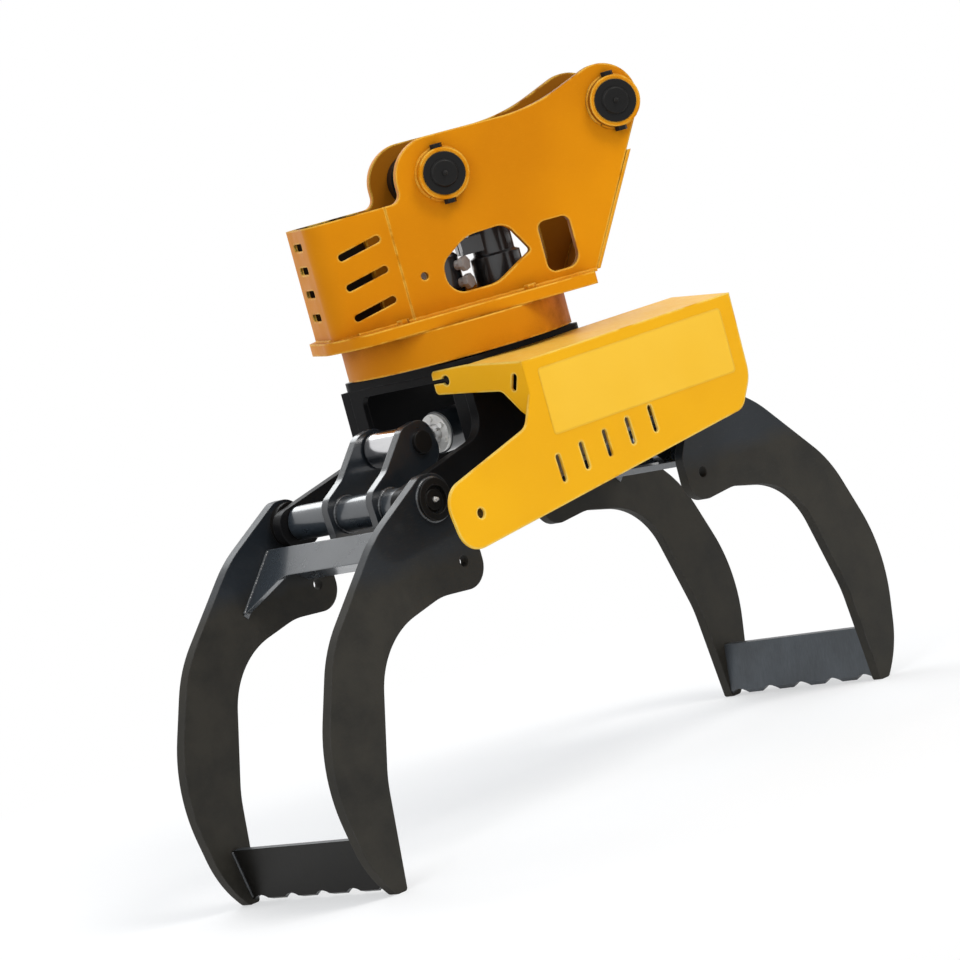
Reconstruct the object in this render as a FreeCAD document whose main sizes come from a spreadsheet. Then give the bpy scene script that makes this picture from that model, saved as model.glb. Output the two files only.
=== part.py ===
import math
import os

import FreeCAD
import Part
import Sketcher
from FreeCAD import Placement, Rotation, Vector

# Grapple saw for an excavator arm: a yellow hitch with two pins, a slewing joint, a black frame
# with two log claws worked by one level cylinder, and a chain saw in a yellow guard.
# Hitch frame: origin at the middle of the arm pin, u along the arm, v along the pins, z up.
# Grapple frame: origin on the slew axis at the underside of the slew ring, x across the claws'
# opening, y along the log, z up. The whole part is drawn in millimetres.

DIMENSIONS = [
    ("pin_spacing_u", 334, "link pin ahead of the arm pin"),
    ("pin_spacing_z", 44, "link pin above the arm pin"),
    ("pin_bore", 50, "diameter of both hitch pins"),
    ("pin_clearance", 0.05, "radial running clearance of pins and shafts"),
    ("pin_overhang", 6, "pin end beyond its collar"),
    ("pin_bush_wall", 13, "wall of the steel bushes in the collars"),
    ("collar_wall", 8, "wall of the yellow collars outside the ears"),
    ("collar_length", 20, "collar outside the ear plate"),
    ("inner_boss_wall", 12, "wall of the black bosses inside the ears"),
    ("inner_boss_length", 38, "boss inside the ear plate"),
    ("retainer_size", 12, "thread of the pin retaining bolts"),
    ("ear_gap", 222, "between the two hitch side plates"),
    ("side_plate", 20, "thickness of the hitch side plates"),
    ("arm_lobe", 72, "rounding of the ear at the arm pin"),
    ("link_lobe", 64, "rounding of the ear at the link pin"),
    ("base_drop", 236, "arm pin above the base plate"),
    ("base_plate", 22, "thickness of the hitch base plate"),
    ("base_half", 188, "half width of the base plate"),
    ("base_tail", 211, "base plate ahead of the arm pin"),
    ("base_nose", 274, "base plate behind the arm pin"),
    ("slew_back", 24, "slew axis behind the arm pin"),
    ("slew_turn", -31, "rest angle of the hitch about the slew axis"),
    ("nose_length", 144, "nose cover behind the side plates"),
    ("cover_drop", 30, "arm pin above the top of the nose cover"),
    ("cover_crease", 116, "bend of the nose cover behind the arm pin"),
    ("cover_sheet", 6, "sheet of the nose and tail covers"),
    ("ring_outer", 207, "radius of the yellow slew ring"),
    ("ring_height", 60, "height of the slew ring"),
    ("ring_wall", 24, "wall of the slew ring beside the gear"),
    ("gear_module", 6, "module of the slew gear"),
    ("flange_bolt", 12, "thread of the slew ring bolts"),
    ("flange_circle", 197, "bolt circle radius of the slew ring"),
    ("gear_bolt", 10, "thread of the slew gear bolts"),
    ("gear_circle", 165.5, "bolt circle radius of the slew gear"),
    ("gear_teeth", 50, "teeth of the inner slew gear"),
    ("pinion_teeth", 14, "teeth of the slew pinion"),
    ("gear_width", 30, "face width of the slew pinion"),
    ("turn_gap", 3, "gap between hitch and frame at the slew ring"),
    ("motor_body", 46, "radius of the slew motor"),
    ("motor_height", 128, "height of the slew motor"),
    ("frame_half_length", 155, "half length of the frame box"),
    ("frame_half_width", 168, "half width over the frame side plates"),
    ("frame_plate", 20, "thickness of the frame side plates"),
    ("top_plate", 16, "thickness of the frame top plate"),
    ("end_plate", 12, "thickness of the frame end plates"),
    ("end_depth", 150, "depth of the frame end plates"),
    ("end_border", 30, "border round the opening in an end plate"),
    ("pivot_reach", 344, "claw pivot from the slew axis"),
    ("pivot_drop", 212, "claw pivot below the slew ring"),
    ("pivot_lobe", 43, "radius of the frame ear at a claw pivot"),
    ("pivot_pin", 40, "diameter of a claw pivot pin"),
    ("pivot_bush", 6, "wall of the frame bushes at a claw pivot"),
    ("tube_wall", 11, "wall of the claw hub tube"),
    ("tine_plate", 20, "thickness of a claw tine"),
    ("side_play", 3, "play between a claw's spacer and the frame ear"),
    ("tine_spacer", 14, "spacer inside a claw tine"),
    ("tine_collar", 37, "radius of the collar on a tine"),
    ("tine_collar_width", 8, "width of the collar on a tine"),
    ("crank_x", 102, "cylinder pin inside the claw pivot"),
    ("crank_z", 90, "cylinder pin above the claw pivot"),
    ("crank_plate", 16, "thickness of a crank plate"),
    ("crank_gap", 102, "between the two crank plates of a claw"),
    ("crank_offset", -33, "claw cylinder from the slew axis, along the log"),
    ("crank_pin", 30, "diameter of a cylinder pin"),
    ("crank_boss", 36, "radius of a crank plate at its cylinder pin"),
    ("barrel_radius", 38, "outer radius of the claw cylinder"),
    ("barrel_bore", 30, "radius of the cylinder bore"),
    ("barrel_length", 385, "cylinder eye to gland face"),
    ("rod_radius", 18, "radius of the piston rod"),
    ("rod_length", 390, "rod eye to the far face of the piston"),
    ("piston_width", 26, "width of the piston"),
    ("cylinder_eye", 32, "outer radius of the cylinder eyes"),
    ("eye_width", 92, "width of the cylinder eyes"),
    ("blade_sheet", 14, "thickness of a claw blade"),
    ("blade_pitch", 82, "pitch of the blade serrations"),
    ("guard_standoff", 144, "saw guard face from the frame side plate"),
    ("guard_sheet", 5, "sheet of the saw guard"),
    ("saw_x", 215, "saw pivot from the slew axis"),
    ("saw_drop", 130, "saw pivot below the slew ring"),
    ("bar_length", 560, "saw pivot to the guide bar tip"),
    ("bar_rest", 192.2, "rest angle of the guide bar"),
    ("bar_standoff", 108, "guide bar from the frame side plate"),
    ("bar_sheet", 5, "thickness of the guide bar"),
    ("bar_half", 34, "half width of the guide bar"),
    ("chain_pitch", 19.05, "mean distance between two chain rivets"),
    ("chain_rail", 4.4, "chain rivets above the edge of the guide bar"),
    ("chain_tooth", 12, "height of a chain cutter above its rivets"),
    ("sprocket_teeth", 6, "drive links round the sprocket"),
    ("saw_plate", 12, "thickness of the saw mounting plate"),
    ("saw_motor", 43, "radius of the saw motor"),
    ("saw_snout", 30, "radius of the saw motor snout"),
    ("feed_module", 4, "module of the feed rack"),
    ("feed_teeth", 30, "teeth round the full feed gear"),
    ("feed_rod", 13, "radius of the feed rack"),
    ("feed_wall", 6, "wall of the feed cylinders"),
]

doc = FreeCAD.newDocument("GrappleSaw")
sheet = doc.addObject("Spreadsheet::Sheet", "Dims")


class Size:
    """A length or number that knows its value and the cells it comes from."""

    def __init__(self, value, text=None):
        self.value = value
        self.text = text if text else "%.6g" % value

    def __add__(self, other):
        other = as_size(other)
        return Size(self.value + other.value, "(%s + %s)" % (self.text, other.text))

    def __sub__(self, other):
        other = as_size(other)
        return Size(self.value - other.value, "(%s - %s)" % (self.text, other.text))

    def __mul__(self, other):
        other = as_size(other)
        return Size(self.value * other.value, "(%s * %s)" % (self.text, other.text))

    def __truediv__(self, other):
        other = as_size(other)
        return Size(self.value / other.value, "(%s / %s)" % (self.text, other.text))

    def __neg__(self):
        return Size(-self.value, "(0 - %s)" % self.text)

    __radd__ = __add__
    __rmul__ = __mul__

    def __rsub__(self, other):
        return as_size(other) - self


def as_size(number):
    return number if isinstance(number, Size) else Size(float(number))


def sine(angle):
    return Size(math.sin(math.radians(angle.value)), "sin(%s * 1 deg)" % angle.text)


def cosine(angle):
    return Size(math.cos(math.radians(angle.value)), "cos(%s * 1 deg)" % angle.text)


def arc_sine(share):
    return Size(math.degrees(math.asin(share.value)), "(asin(%s) / 1 deg)" % share.text)


def arc_cosine(share):
    return Size(math.degrees(math.acos(share.value)), "(acos(%s) / 1 deg)" % share.text)


class Dims:
    """The driving dimensions, one attribute for each spreadsheet cell."""


d = Dims()
for row, (alias, number, note) in enumerate(DIMENSIONS, 1):
    sheet.set("A%d" % row, alias)
    sheet.set("B%d" % row, str(number))
    sheet.set("C%d" % row, note)
    sheet.setAlias("B%d" % row, alias)
    setattr(d, alias, Size(number, "Dims.%s" % alias))
doc.recompute()

# Sizes worked out from the driving dimensions
zero = Size(0)
pin_radius = d.pin_bore / 2
bush_outer = pin_radius + d.pin_bush_wall
collar_outer = bush_outer + d.collar_wall
ear_inner = d.ear_gap / 2
ear_outer = ear_inner + d.side_plate
collar_face = ear_outer + d.collar_length
boss_inner_face = ear_inner - d.inner_boss_length
base_top = -d.base_drop
base_bottom = base_top - d.base_plate
ring_bottom = base_bottom - d.ring_height
frame_inner = d.frame_half_width - d.frame_plate
tine_inner = d.frame_half_width + d.side_play + d.tine_spacer
tine_outer = tine_inner + d.tine_plate
pivot_radius = d.pivot_pin / 2
bar_plane = d.frame_half_width + d.bar_standoff
guard_face = d.frame_half_width + d.guard_standoff
crank_face = d.crank_gap / 2
gear_pitch = d.gear_module * d.gear_teeth / 2
pinion_pitch = d.gear_module * d.pinion_teeth / 2
pinion_centre = gear_pitch - pinion_pitch
feed_pitch = d.feed_module * d.feed_teeth / 2


class Place:
    """A local coordinate system: where its origin is and how far it is turned about Z."""

    def __init__(self, x, y, z, turn):
        self.base = (x, y, z)
        self.turn = turn

    def hold(self, item):
        x, y, z = self.base
        item.Placement = Placement(Vector(x.value, y.value, z.value),
                                   Rotation(Vector(0, 0, 1), self.turn.value))
        for axis, size in zip("xyz", self.base):
            item.setExpression("Placement.Base." + axis, size.text)
        item.setExpression("Placement.Rotation.Angle", self.turn.text)


slew_x = -d.slew_back * cosine(d.slew_turn)
slew_y = -d.slew_back * sine(d.slew_turn)
hitch = Place(zero, zero, zero, d.slew_turn)
grapple = Place(slew_x, slew_y, ring_bottom, zero)
mirrored = Place(slew_x, slew_y, ring_bottom, Size(180))
claw_places = {"left": grapple, "right": mirrored}

pieces = []


def new_body(label, place):
    body = doc.addObject("PartDesign::Body", label)
    body.Label = label
    place.hold(body)
    pieces.append(body)
    return body


def origin_plane(body, role):
    return [item for item in body.Origin.OriginFeatures if item.Role == role][0]


def new_sketch(body, plane, at=(zero, zero), level=zero):
    """A sketch on XY, XZ or YZ whose own origin lies at a point of the body's axes."""
    sketch = body.newObject("Sketcher::SketchObject", "Sketch")
    sketch.AttachmentSupport = [(origin_plane(body, plane + "_Plane"), "")]
    sketch.MapMode = "FlatFace"
    lift = -level if plane == "XZ" else level
    offset = (as_size(at[0]), as_size(at[1]), lift)
    sketch.AttachmentOffset = Placement(Vector(*[size.value for size in offset]), Rotation())
    for axis, size in zip("xyz", offset):
        sketch.setExpression("AttachmentOffset.Base." + axis, size.text)
    return sketch


def pin_point(sketch, geometry, end, a, b):
    """Holds one point of a sketch at two sizes from the sketch's origin."""
    for kind, size in (("DistanceX", a), ("DistanceY", b)):
        if size.value < 0:
            index = sketch.addConstraint(Sketcher.Constraint(kind, geometry, end, -1, 1, -size.value))
            sketch.setExpression("Constraints[%d]" % index, (-size).text)
        else:
            index = sketch.addConstraint(Sketcher.Constraint(kind, -1, 1, geometry, end, size.value))
            sketch.setExpression("Constraints[%d]" % index, size.text)


def circle(sketch, a, b, radius):
    a, b, radius = as_size(a), as_size(b), as_size(radius)
    index = sketch.addGeometry(Part.Circle(Vector(a.value, b.value, 0), Vector(0, 0, 1), radius.value))
    pin_point(sketch, index, 3, a, b)
    bound = sketch.addConstraint(Sketcher.Constraint("Radius", index, radius.value))
    sketch.setExpression("Constraints[%d]" % bound, radius.text)


def outline(sketch, corners):
    """A closed line through corners (a, b) or (a, b, radius), each radius a tangent arc."""
    corners = [tuple(as_size(size) for size in corner) for corner in corners]
    points = [Vector(corner[0].value, corner[1].value, 0) for corner in corners]
    count = len(corners)
    ends = []
    for i, corner in enumerate(corners):
        before = (points[i - 1] - points[i]).normalize()
        after = (points[(i + 1) % count] - points[i]).normalize()
        if len(corner) == 2:
            ends.append((points[i], points[i], None))
            continue
        radius = corner[2].value
        half = before.getAngle(after) / 2
        reach = radius / math.tan(half)
        middle = points[i] + (before + after).normalize() * (radius / math.sin(half))
        first = points[i] + before * reach
        last = points[i] + after * reach
        turns_left = before.cross(after).z < 0
        start, stop = (first, last) if turns_left else (last, first)
        angles = [math.atan2(point.y - middle.y, point.x - middle.x) for point in (start, stop)]
        arc = Part.ArcOfCircle(Part.Circle(middle, Vector(0, 0, 1), radius), angles[0], angles[1])
        ends.append((first, last, (arc, turns_left)))
    lines = []
    for i in range(count):
        lines.append(sketch.addGeometry(Part.LineSegment(ends[i][1], ends[(i + 1) % count][0])))
    for i, corner in enumerate(corners):
        line_in, line_out = lines[i - 1], lines[i]
        if ends[i][2] is None:
            sketch.addConstraint(Sketcher.Constraint("Coincident", line_in, 2, line_out, 1))
            pin_point(sketch, line_out, 1, corner[0], corner[1])
            continue
        arc, turns_left = ends[i][2]
        bend = sketch.addGeometry(arc)
        near, far = (1, 2) if turns_left else (2, 1)
        sketch.addConstraint(Sketcher.Constraint("Tangent", line_in, 2, bend, near))
        sketch.addConstraint(Sketcher.Constraint("Tangent", bend, far, line_out, 1))
        bound = sketch.addConstraint(Sketcher.Constraint("Radius", bend, corner[2].value))
        sketch.setExpression("Constraints[%d]" % bound, corner[2].text)
        apex = sketch.addGeometry(Part.Point(points[i]), True)
        sketch.addConstraint(Sketcher.Constraint("PointOnObject", apex, 1, line_in))
        sketch.addConstraint(Sketcher.Constraint("PointOnObject", apex, 1, line_out))
        pin_point(sketch, apex, 1, corner[0], corner[1])


def slot(sketch, a1, b1, a2, b2, width):
    """A round-ended slot between two end points, with a flat of a tenth of its width."""
    a1, b1, a2, b2, width = (as_size(size) for size in (a1, b1, a2, b2, width))
    run_a, run_b = a2.value - a1.value, b2.value - b1.value
    length = math.hypot(run_a, run_b)
    half = width / 2
    along = (half * (run_a / length), half * (run_b / length))
    across = (-along[1], along[0])
    radius = width * 0.45
    outline(sketch, [
        (a1 - along[0] - across[0], b1 - along[1] - across[1], radius),
        (a2 + along[0] - across[0], b2 + along[1] - across[1], radius),
        (a2 + along[0] + across[0], b2 + along[1] + across[1], radius),
        (a1 - along[0] + across[0], b1 - along[1] + across[1], radius)])


def pad(body, sketch, thickness):
    """A pad of a given thickness, half to each side of its sketch."""
    feature = body.newObject("PartDesign::Pad", "Pad")
    feature.Profile = sketch
    feature.Midplane = True
    feature.Length = thickness.value
    feature.setExpression("Length", thickness.text)
    return feature


def pocket(body, sketch, depth):
    """A cut of a given depth, half to each side of its sketch."""
    feature = body.newObject("PartDesign::Pocket", "Pocket")
    feature.Profile = sketch
    feature.Midplane = True
    feature.Length = depth.value
    feature.setExpression("Length", depth.text)
    return feature


def turn(body, sketch, axis="V_Axis", cut=False):
    kind = "PartDesign::Groove" if cut else "PartDesign::Revolution"
    feature = body.newObject(kind, "Turned")
    feature.Profile = sketch
    feature.ReferenceAxis = (sketch, [axis])
    feature.Angle = 360
    return feature


def turned(label, place, axis, centre, profile):
    """A turned piece: profile points (radius, along) about X, Y or Z through a centre."""
    body = new_body(label, place)
    add_turned(body, axis, centre, profile)
    return body


def add_turned(body, axis, centre, profile, cut=False):
    x, y, z = (as_size(size) for size in centre)
    if axis == "Z":
        sketch = new_sketch(body, "XZ", (x, z), y)
        corners = profile
    elif axis == "Y":
        sketch = new_sketch(body, "XY", (x, y), z)
        corners = profile
    else:
        sketch = new_sketch(body, "XY", (x, y), z)
        corners = [(corner[1], corner[0]) + tuple(corner[2:]) for corner in profile]
    outline(sketch, corners)
    return turn(body, sketch, "H_Axis" if axis == "X" else "V_Axis", cut)


def ring(inner, outer, low, high):
    """The profile of a plain ring."""
    return [(inner, low), (outer, low), (outer, high), (inner, high)]


def rod(radius, low, high, chamfer=2):
    """The profile of a solid bar with chamfered ends."""
    return [(zero, low), (radius - chamfer, low), (radius, low + chamfer),
            (radius, high - chamfer), (radius - chamfer, high), (zero, high)]


def group(label, place, solids):
    """One piece made of several like solids, built by Part's own functions."""
    item = doc.addObject("Part::Feature", label)
    item.Label = label
    item.Shape = Part.makeCompound(solids)
    place.hold(item)
    pieces.append(item)
    return item


def hexagon(across, height, centre, direction):
    """A hexagon head of a given width across flats."""
    radius = across / math.sqrt(3)
    points = [Vector(radius * math.cos(k * math.pi / 3), radius * math.sin(k * math.pi / 3), 0)
              for k in range(7)]
    head = Part.Face(Part.makePolygon(points)).extrude(Vector(0, 0, height))
    head.Placement = Placement(centre, Rotation(Vector(0, 0, 1), direction))
    return head


def bolt(size, shank, centre, direction):
    """A hexagon bolt whose head stands on centre and whose shank runs back along direction."""
    head = hexagon(1.6 * size, 0.65 * size, centre, direction)
    stem = Part.makeCylinder(size / 2, shank, centre, direction * -1)
    return head.fuse(stem)


# Hitch side plates with their ears
def hitch_side_plate(label, side):
    body = new_body(label, hitch)
    level = (ear_inner + d.side_plate / 2) * side
    sketch = new_sketch(body, "XZ", level=level)
    link_u, link_z = d.pin_spacing_u, d.pin_spacing_z
    outline(sketch, [
        (-d.cover_crease, base_top),
        (link_u - 107, base_top),
        (link_u + 130, link_z + 134, d.link_lobe),
        (link_u - 144, link_z + 26, 320),
        (-d.arm_lobe - 12, d.arm_lobe, d.arm_lobe),
        (-d.arm_lobe - 12, -d.cover_drop, 18),
        (-d.cover_crease, -d.cover_drop)])
    circle(sketch, 0, 0, collar_outer)
    circle(sketch, link_u, link_z, collar_outer)
    outline(sketch, [(-44, -212, 34), (48, -212, 60), (121, -171, 6), (88, -114, 30),
                     (12, -117, 60), (-40, -152, 30)])
    outline(sketch, [(142, -220, 16), (202, -220, 24), (202, -128, 14), (142, -128, 14)])
    if side < 0:
        circle(sketch, -78, -166, 7)
    pad(body, sketch, d.side_plate)


hitch_side_plate("hitch_side_front", -1)
hitch_side_plate("hitch_side_rear", 1)

# Collars, bosses and bushes that carry the two hitch pins
arm_pin_at = (zero, zero)
link_pin_at = (d.pin_spacing_u, d.pin_spacing_z)
PIN_NAMES = {"arm": arm_pin_at, "link": link_pin_at}
retainer_v = ear_outer + d.collar_length / 2
collars = new_body("pin_collars", hitch)
for pin_name, (pin_u, pin_z) in PIN_NAMES.items():
    bosses = new_body("%s_pin_bosses" % pin_name, hitch)
    bushes = new_body("%s_pin_bushes" % pin_name, hitch)
    for side in (-1, 1):
        add_turned(bosses, "Y", (pin_u, zero, pin_z), [
            (bush_outer, boss_inner_face * side), (bush_outer + d.inner_boss_wall, boss_inner_face * side),
            (bush_outer + d.inner_boss_wall, ear_inner * side), (bush_outer, ear_inner * side)])
        add_turned(collars, "Y", (pin_u, zero, pin_z), ring(
            bush_outer, collar_outer, ear_inner * side, collar_face * side))
        add_turned(bushes, "Y", (pin_u, zero, pin_z), ring(
            pin_radius + d.pin_clearance, bush_outer, boss_inner_face * side,
            (collar_face + 2) * side))
    for item, depth in ((collars, collar_outer * 2 + 10), (bushes, collar_outer * 2)):
        sketch = new_sketch(item, "XY", level=pin_z)
        for side in (-1, 1):
            circle(sketch, pin_u, retainer_v * side, d.retainer_size / 2 + 0.1)
        pocket(item, sketch, depth)
    pin_end = collar_face + d.pin_overhang
    turned("%s_pin" % pin_name, hitch, "Y", (pin_u, zero, pin_z), [
        (zero, -pin_end), (pin_radius - 3, -pin_end), (pin_radius, -pin_end + 3),
        (pin_radius, -boss_inner_face - 2), (pin_radius - 1, -boss_inner_face - 1),
        (pin_radius - 1, -boss_inner_face + 1), (pin_radius, -boss_inner_face + 2),
        (pin_radius, boss_inner_face - 2), (pin_radius - 1, boss_inner_face - 1),
        (pin_radius - 1, boss_inner_face + 1), (pin_radius, boss_inner_face + 2),
        (pin_radius, pin_end - 3), (pin_radius - 3, pin_end), (zero, pin_end)])

retainers = []
for pin_u, pin_z in PIN_NAMES.values():
    for side in (-1, 1):
        for up in (-1, 1):
            foot = Vector(pin_u.value, side * retainer_v.value,
                          pin_z.value + up * collar_outer.value)
            retainers.append(bolt(d.retainer_size.value, d.collar_wall.value + 6, foot,
                                  Vector(0, 0, up)))

# Base plate with its holes for the rotary joint, the slew motor and the slew ring's bolts
flange_thread = Size(20)
flange_spots = []
for degrees in (9, 24, 53, 127, 156, 171):
    for side in (-1, 1):
        spot_angle = Size(degrees * side)
        flange_spots.append((d.flange_circle * cosine(spot_angle) - d.slew_back,
                             d.flange_circle * sine(spot_angle)))
body = new_body("hitch_base_plate", hitch)
sketch = new_sketch(body, "XY", level=base_top - d.base_plate / 2)
outline(sketch, [
    (d.base_tail, -d.base_half, 12), (d.base_tail, d.base_half, 12),
    (-d.base_nose + 50, d.base_half, 70), (-d.base_nose, d.base_half - 108, 90),
    (-d.base_nose, -d.base_half + 108, 90), (-d.base_nose + 50, -d.base_half, 70)])
circle(sketch, -d.slew_back, 0, 42)
circle(sketch, -d.slew_back + pinion_centre, 0, 46)
for spot in flange_spots:
    circle(sketch, spot[0], spot[1], d.flange_bolt / 2 + 0.1)
pad(body, sketch, d.base_plate)

# Bent nose cover with three slots in each side and four in the end
body = new_body("hitch_nose_cover", hitch)
cover_height = d.base_drop - d.cover_drop
cover_middle = base_top + cover_height / 2
nose_end = -d.cover_crease - d.nose_length
nose_half = ear_outer - 20
sheet_in = d.cover_sheet
sketch = new_sketch(body, "XY", level=cover_middle)
outline(sketch, [
    (-d.cover_crease, -ear_outer), (nose_end, -nose_half, 45), (nose_end, nose_half, 45),
    (-d.cover_crease, ear_outer), (-d.cover_crease, ear_outer - sheet_in),
    (nose_end + sheet_in, nose_half - sheet_in, 39), (nose_end + sheet_in, -nose_half + sheet_in, 39),
    (-d.cover_crease, -ear_outer + sheet_in)])
pad(body, sketch, cover_height)
sketch = new_sketch(body, "XZ")
for step in range(3):
    drop = 55 * step
    slot(sketch, -210, -96 - drop, -144, -81 - drop, 13)
pocket(body, sketch, ear_outer * 3)
sketch = new_sketch(body, "YZ", level=nose_end)
for step in range(4):
    drop = -62 - 43 * step
    slot(sketch, -32, drop, 32, drop, 14)
pocket(body, sketch, Size(60))

# Tail cover on the slanted edge of the side plates, with four slots
body = new_body("hitch_tail_cover", hitch)
tail_foot = d.pin_spacing_u - 107
sketch = new_sketch(body, "XZ")
outline(sketch, [
    (tail_foot, base_top), (tail_foot + 7, base_top), (tail_foot + 117, base_top + 190),
    (tail_foot + 110, base_top + 190)])
pad(body, sketch, ear_outer * 2)
sketch = new_sketch(body, "YZ", level=tail_foot + 60)
for step in range(4):
    lift = base_top + 55 + 33 * step
    slot(sketch, -70, lift, 70, lift, 14)
pocket(body, sketch, Size(200))

# Slew motor with its flange, ports and shaft, and the pinion below it
motor_u = -d.slew_back + pinion_centre
motor_shaft = Size(12.5)
body = turned("slew_motor", hitch, "Z", (motor_u, zero, zero), [
    (zero, ring_bottom + 12), (motor_shaft, ring_bottom + 12),
    (motor_shaft, base_top - 18), (Size(40), base_top - 18), (Size(40), base_top),
    (d.motor_body + 10, base_top), (d.motor_body + 10, base_top + 16), (d.motor_body, base_top + 16),
    (d.motor_body, base_top + 70), (d.motor_body - 8, base_top + 74),
    (d.motor_body - 8, base_top + d.motor_height - 6), (d.motor_body - 14, base_top + d.motor_height),
    (zero, base_top + d.motor_height)])
sketch = new_sketch(body, "XY", level=base_top + 98)
for side in (-1, 1):
    outline(sketch, [(motor_u - 62, 4 * side), (motor_u - 20, 4 * side), (motor_u - 20, 30 * side),
                     (motor_u - 62, 30 * side)])
pad(body, sketch, Size(30))


def gear_points(teeth, module, root, tip, centre_u, centre_v, phase, play=0.0):
    """The outline of straight-flanked teeth, four points to a tooth, thinned by a play."""
    step = 2 * math.pi / teeth
    points = []
    for k in range(teeth):
        for share, radius in ((-0.34 + play, root), (-0.13 + play, tip), (0.13 - play, tip),
                              (0.34 - play, root)):
            angle = phase + step * (k + share)
            points.append(Vector(centre_u + radius * math.cos(angle),
                                 centre_v + radius * math.sin(angle), 0))
    return points + [points[0]]


module = d.gear_module.value
teeth = int(d.pinion_teeth.value)
pinion_low = ring_bottom.value + 14
pinion_face = Part.Face(Part.makePolygon(gear_points(
    teeth, module, pinion_pitch.value - 1.2 * module, pinion_pitch.value + 0.9 * module,
    motor_u.value, 0, math.pi, 0.035)))
pinion = pinion_face.extrude(Vector(0, 0, d.gear_width.value))
pinion.translate(Vector(0, 0, pinion_low))
pinion = pinion.cut(Part.makeCylinder(motor_shaft.value + d.pin_clearance.value, 200,
                                      Vector(motor_u.value, 0, pinion_low - 50)))
group("slew_pinion", hitch, [pinion])

# Yellow slew ring that hangs from the base plate
ring_inner = d.ring_outer - d.ring_wall
slew_ring = turned("slew_ring_outer", hitch, "Z", (-d.slew_back, zero, zero), [
    (ring_inner - 8, ring_bottom), (d.ring_outer, ring_bottom), (d.ring_outer, base_bottom),
    (ring_inner + 4, base_bottom), (ring_inner + 4, ring_bottom + 22), (ring_inner - 8, ring_bottom + 22)])

sketch = new_sketch(slew_ring, "XY", level=base_bottom - flange_thread / 2)
for spot in flange_spots:
    circle(sketch, spot[0], spot[1], d.flange_bolt / 2 + 0.1)
pocket(slew_ring, sketch, flange_thread)
flange_bolts = [
    bolt(d.flange_bolt.value, (d.base_plate + flange_thread).value - 1,
         Vector(spot[0].value, spot[1].value, base_top.value), Vector(0, 0, 1))
    for spot in flange_spots]

# Rotary joint for the oil in the middle of the slew ring
core_radius = Size(25)
turned("rotary_joint_housing", hitch, "Z", (-d.slew_back, zero, zero), [
    (core_radius + d.pin_clearance, ring_bottom + 4), (Size(38), ring_bottom + 4),
    (Size(38), base_bottom - 8), (Size(40), base_bottom - 8), (Size(40), base_top), (Size(51), base_top),
    (Size(51), base_top + 14), (Size(40), base_top + 14), (Size(40), base_top + 88),
    (Size(34), base_top + 94), (zero, base_top + 94), (zero, base_top + 24),
    (core_radius + d.pin_clearance, base_top + 24)])
port_parts = []
for k in range(8):
    angle = math.radians(45 + 90 * (k % 4))
    reach = Vector(math.cos(angle), math.sin(angle), 0)
    foot = Vector(-d.slew_back.value, 0, base_top.value + 38 + 32 * (k // 4)) + reach * 40
    port_parts.append(Part.makeCylinder(9, 12, foot, reach).fuse(
        hexagon(24, 10, foot + reach * 12, reach)))
group("rotary_joint_fittings", hitch, port_parts)
group("pin_retaining_bolts", hitch, retainers)
group("slew_flange_bolts", hitch, flange_bolts)

# Inner slew gear that carries the frame
head_room = Size(11)
first_bolt = arc_cosine((d.frame_half_length - d.end_plate - head_room) / d.gear_circle)
last_bolt = arc_sine((frame_inner - head_room) / d.gear_circle)
gear_spots = []
for bolt_angle in (first_bolt, (first_bolt + last_bolt) / 2, last_bolt):
    spot_x, spot_y = d.gear_circle * cosine(bolt_angle), d.gear_circle * sine(bolt_angle)
    gear_spots += [(spot_x, spot_y), (-spot_x, spot_y), (-spot_x, -spot_y), (spot_x, -spot_y)]
gear_low = ring_bottom - ring_bottom - 3
gear_top = d.ring_height - 2
body_ring = Part.makeCylinder(ring_inner.value - 9, 22 + 3, Vector(0, 0, -3))
lip = Part.makeCylinder(ring_inner.value + 3, gear_top.value - 23, Vector(0, 0, 23))
bore = Part.Face(Part.makePolygon(gear_points(
    int(d.gear_teeth.value), module, gear_pitch.value - 0.9 * module, gear_pitch.value + 1.2 * module,
    0, 0, math.pi + math.radians(d.slew_turn.value))))
hollow = bore.extrude(Vector(0, 0, 200))
hollow.translate(Vector(0, 0, -60))
slew_gear = body_ring.fuse(lip).cut(hollow)
for spot in gear_spots:
    slew_gear = slew_gear.cut(Part.makeCylinder(
        d.gear_bolt.value / 2 + 0.1, 30, Vector(spot[0].value, spot[1].value, -10)))
group("slew_gear_ring", grapple, [slew_gear.removeSplitter()])

# Frame: top plate, side plates that end in the claw ears, and end plates
plate_top = -d.turn_gap
plate_bottom = plate_top - d.top_plate
body = new_body("frame_top_plate", grapple)
sketch = new_sketch(body, "XY", level=plate_top - d.top_plate / 2)
outline(sketch, [(d.frame_half_length, -d.frame_half_width, 30), (d.frame_half_length, d.frame_half_width, 30),
                 (-d.frame_half_length, d.frame_half_width, 30),
                 (-d.frame_half_length, -d.frame_half_width, 30)])
circle(sketch, 0, 0, 30)
for spot in gear_spots:
    circle(sketch, spot[0], spot[1], d.gear_bolt / 2 + 0.1)
pad(body, sketch, d.top_plate)
group("slew_gear_bolts", grapple, [
    bolt(d.gear_bolt.value, d.top_plate.value + 18,
         Vector(spot[0].value, spot[1].value, plate_bottom.value), Vector(0, 0, -1))
    for spot in gear_spots])
turned("rotary_joint_core", grapple, "Z", (zero, zero, zero), [
    (zero, plate_bottom - 14), (Size(28), plate_bottom - 14), (Size(28), plate_top),
    (Size(46), plate_top), (Size(46), plate_top + 4), (core_radius, plate_top + 4),
    (core_radius, d.ring_height + 34), (zero, d.ring_height + 34)])

pivot_x, pivot_z = d.pivot_reach, -d.pivot_drop


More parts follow.
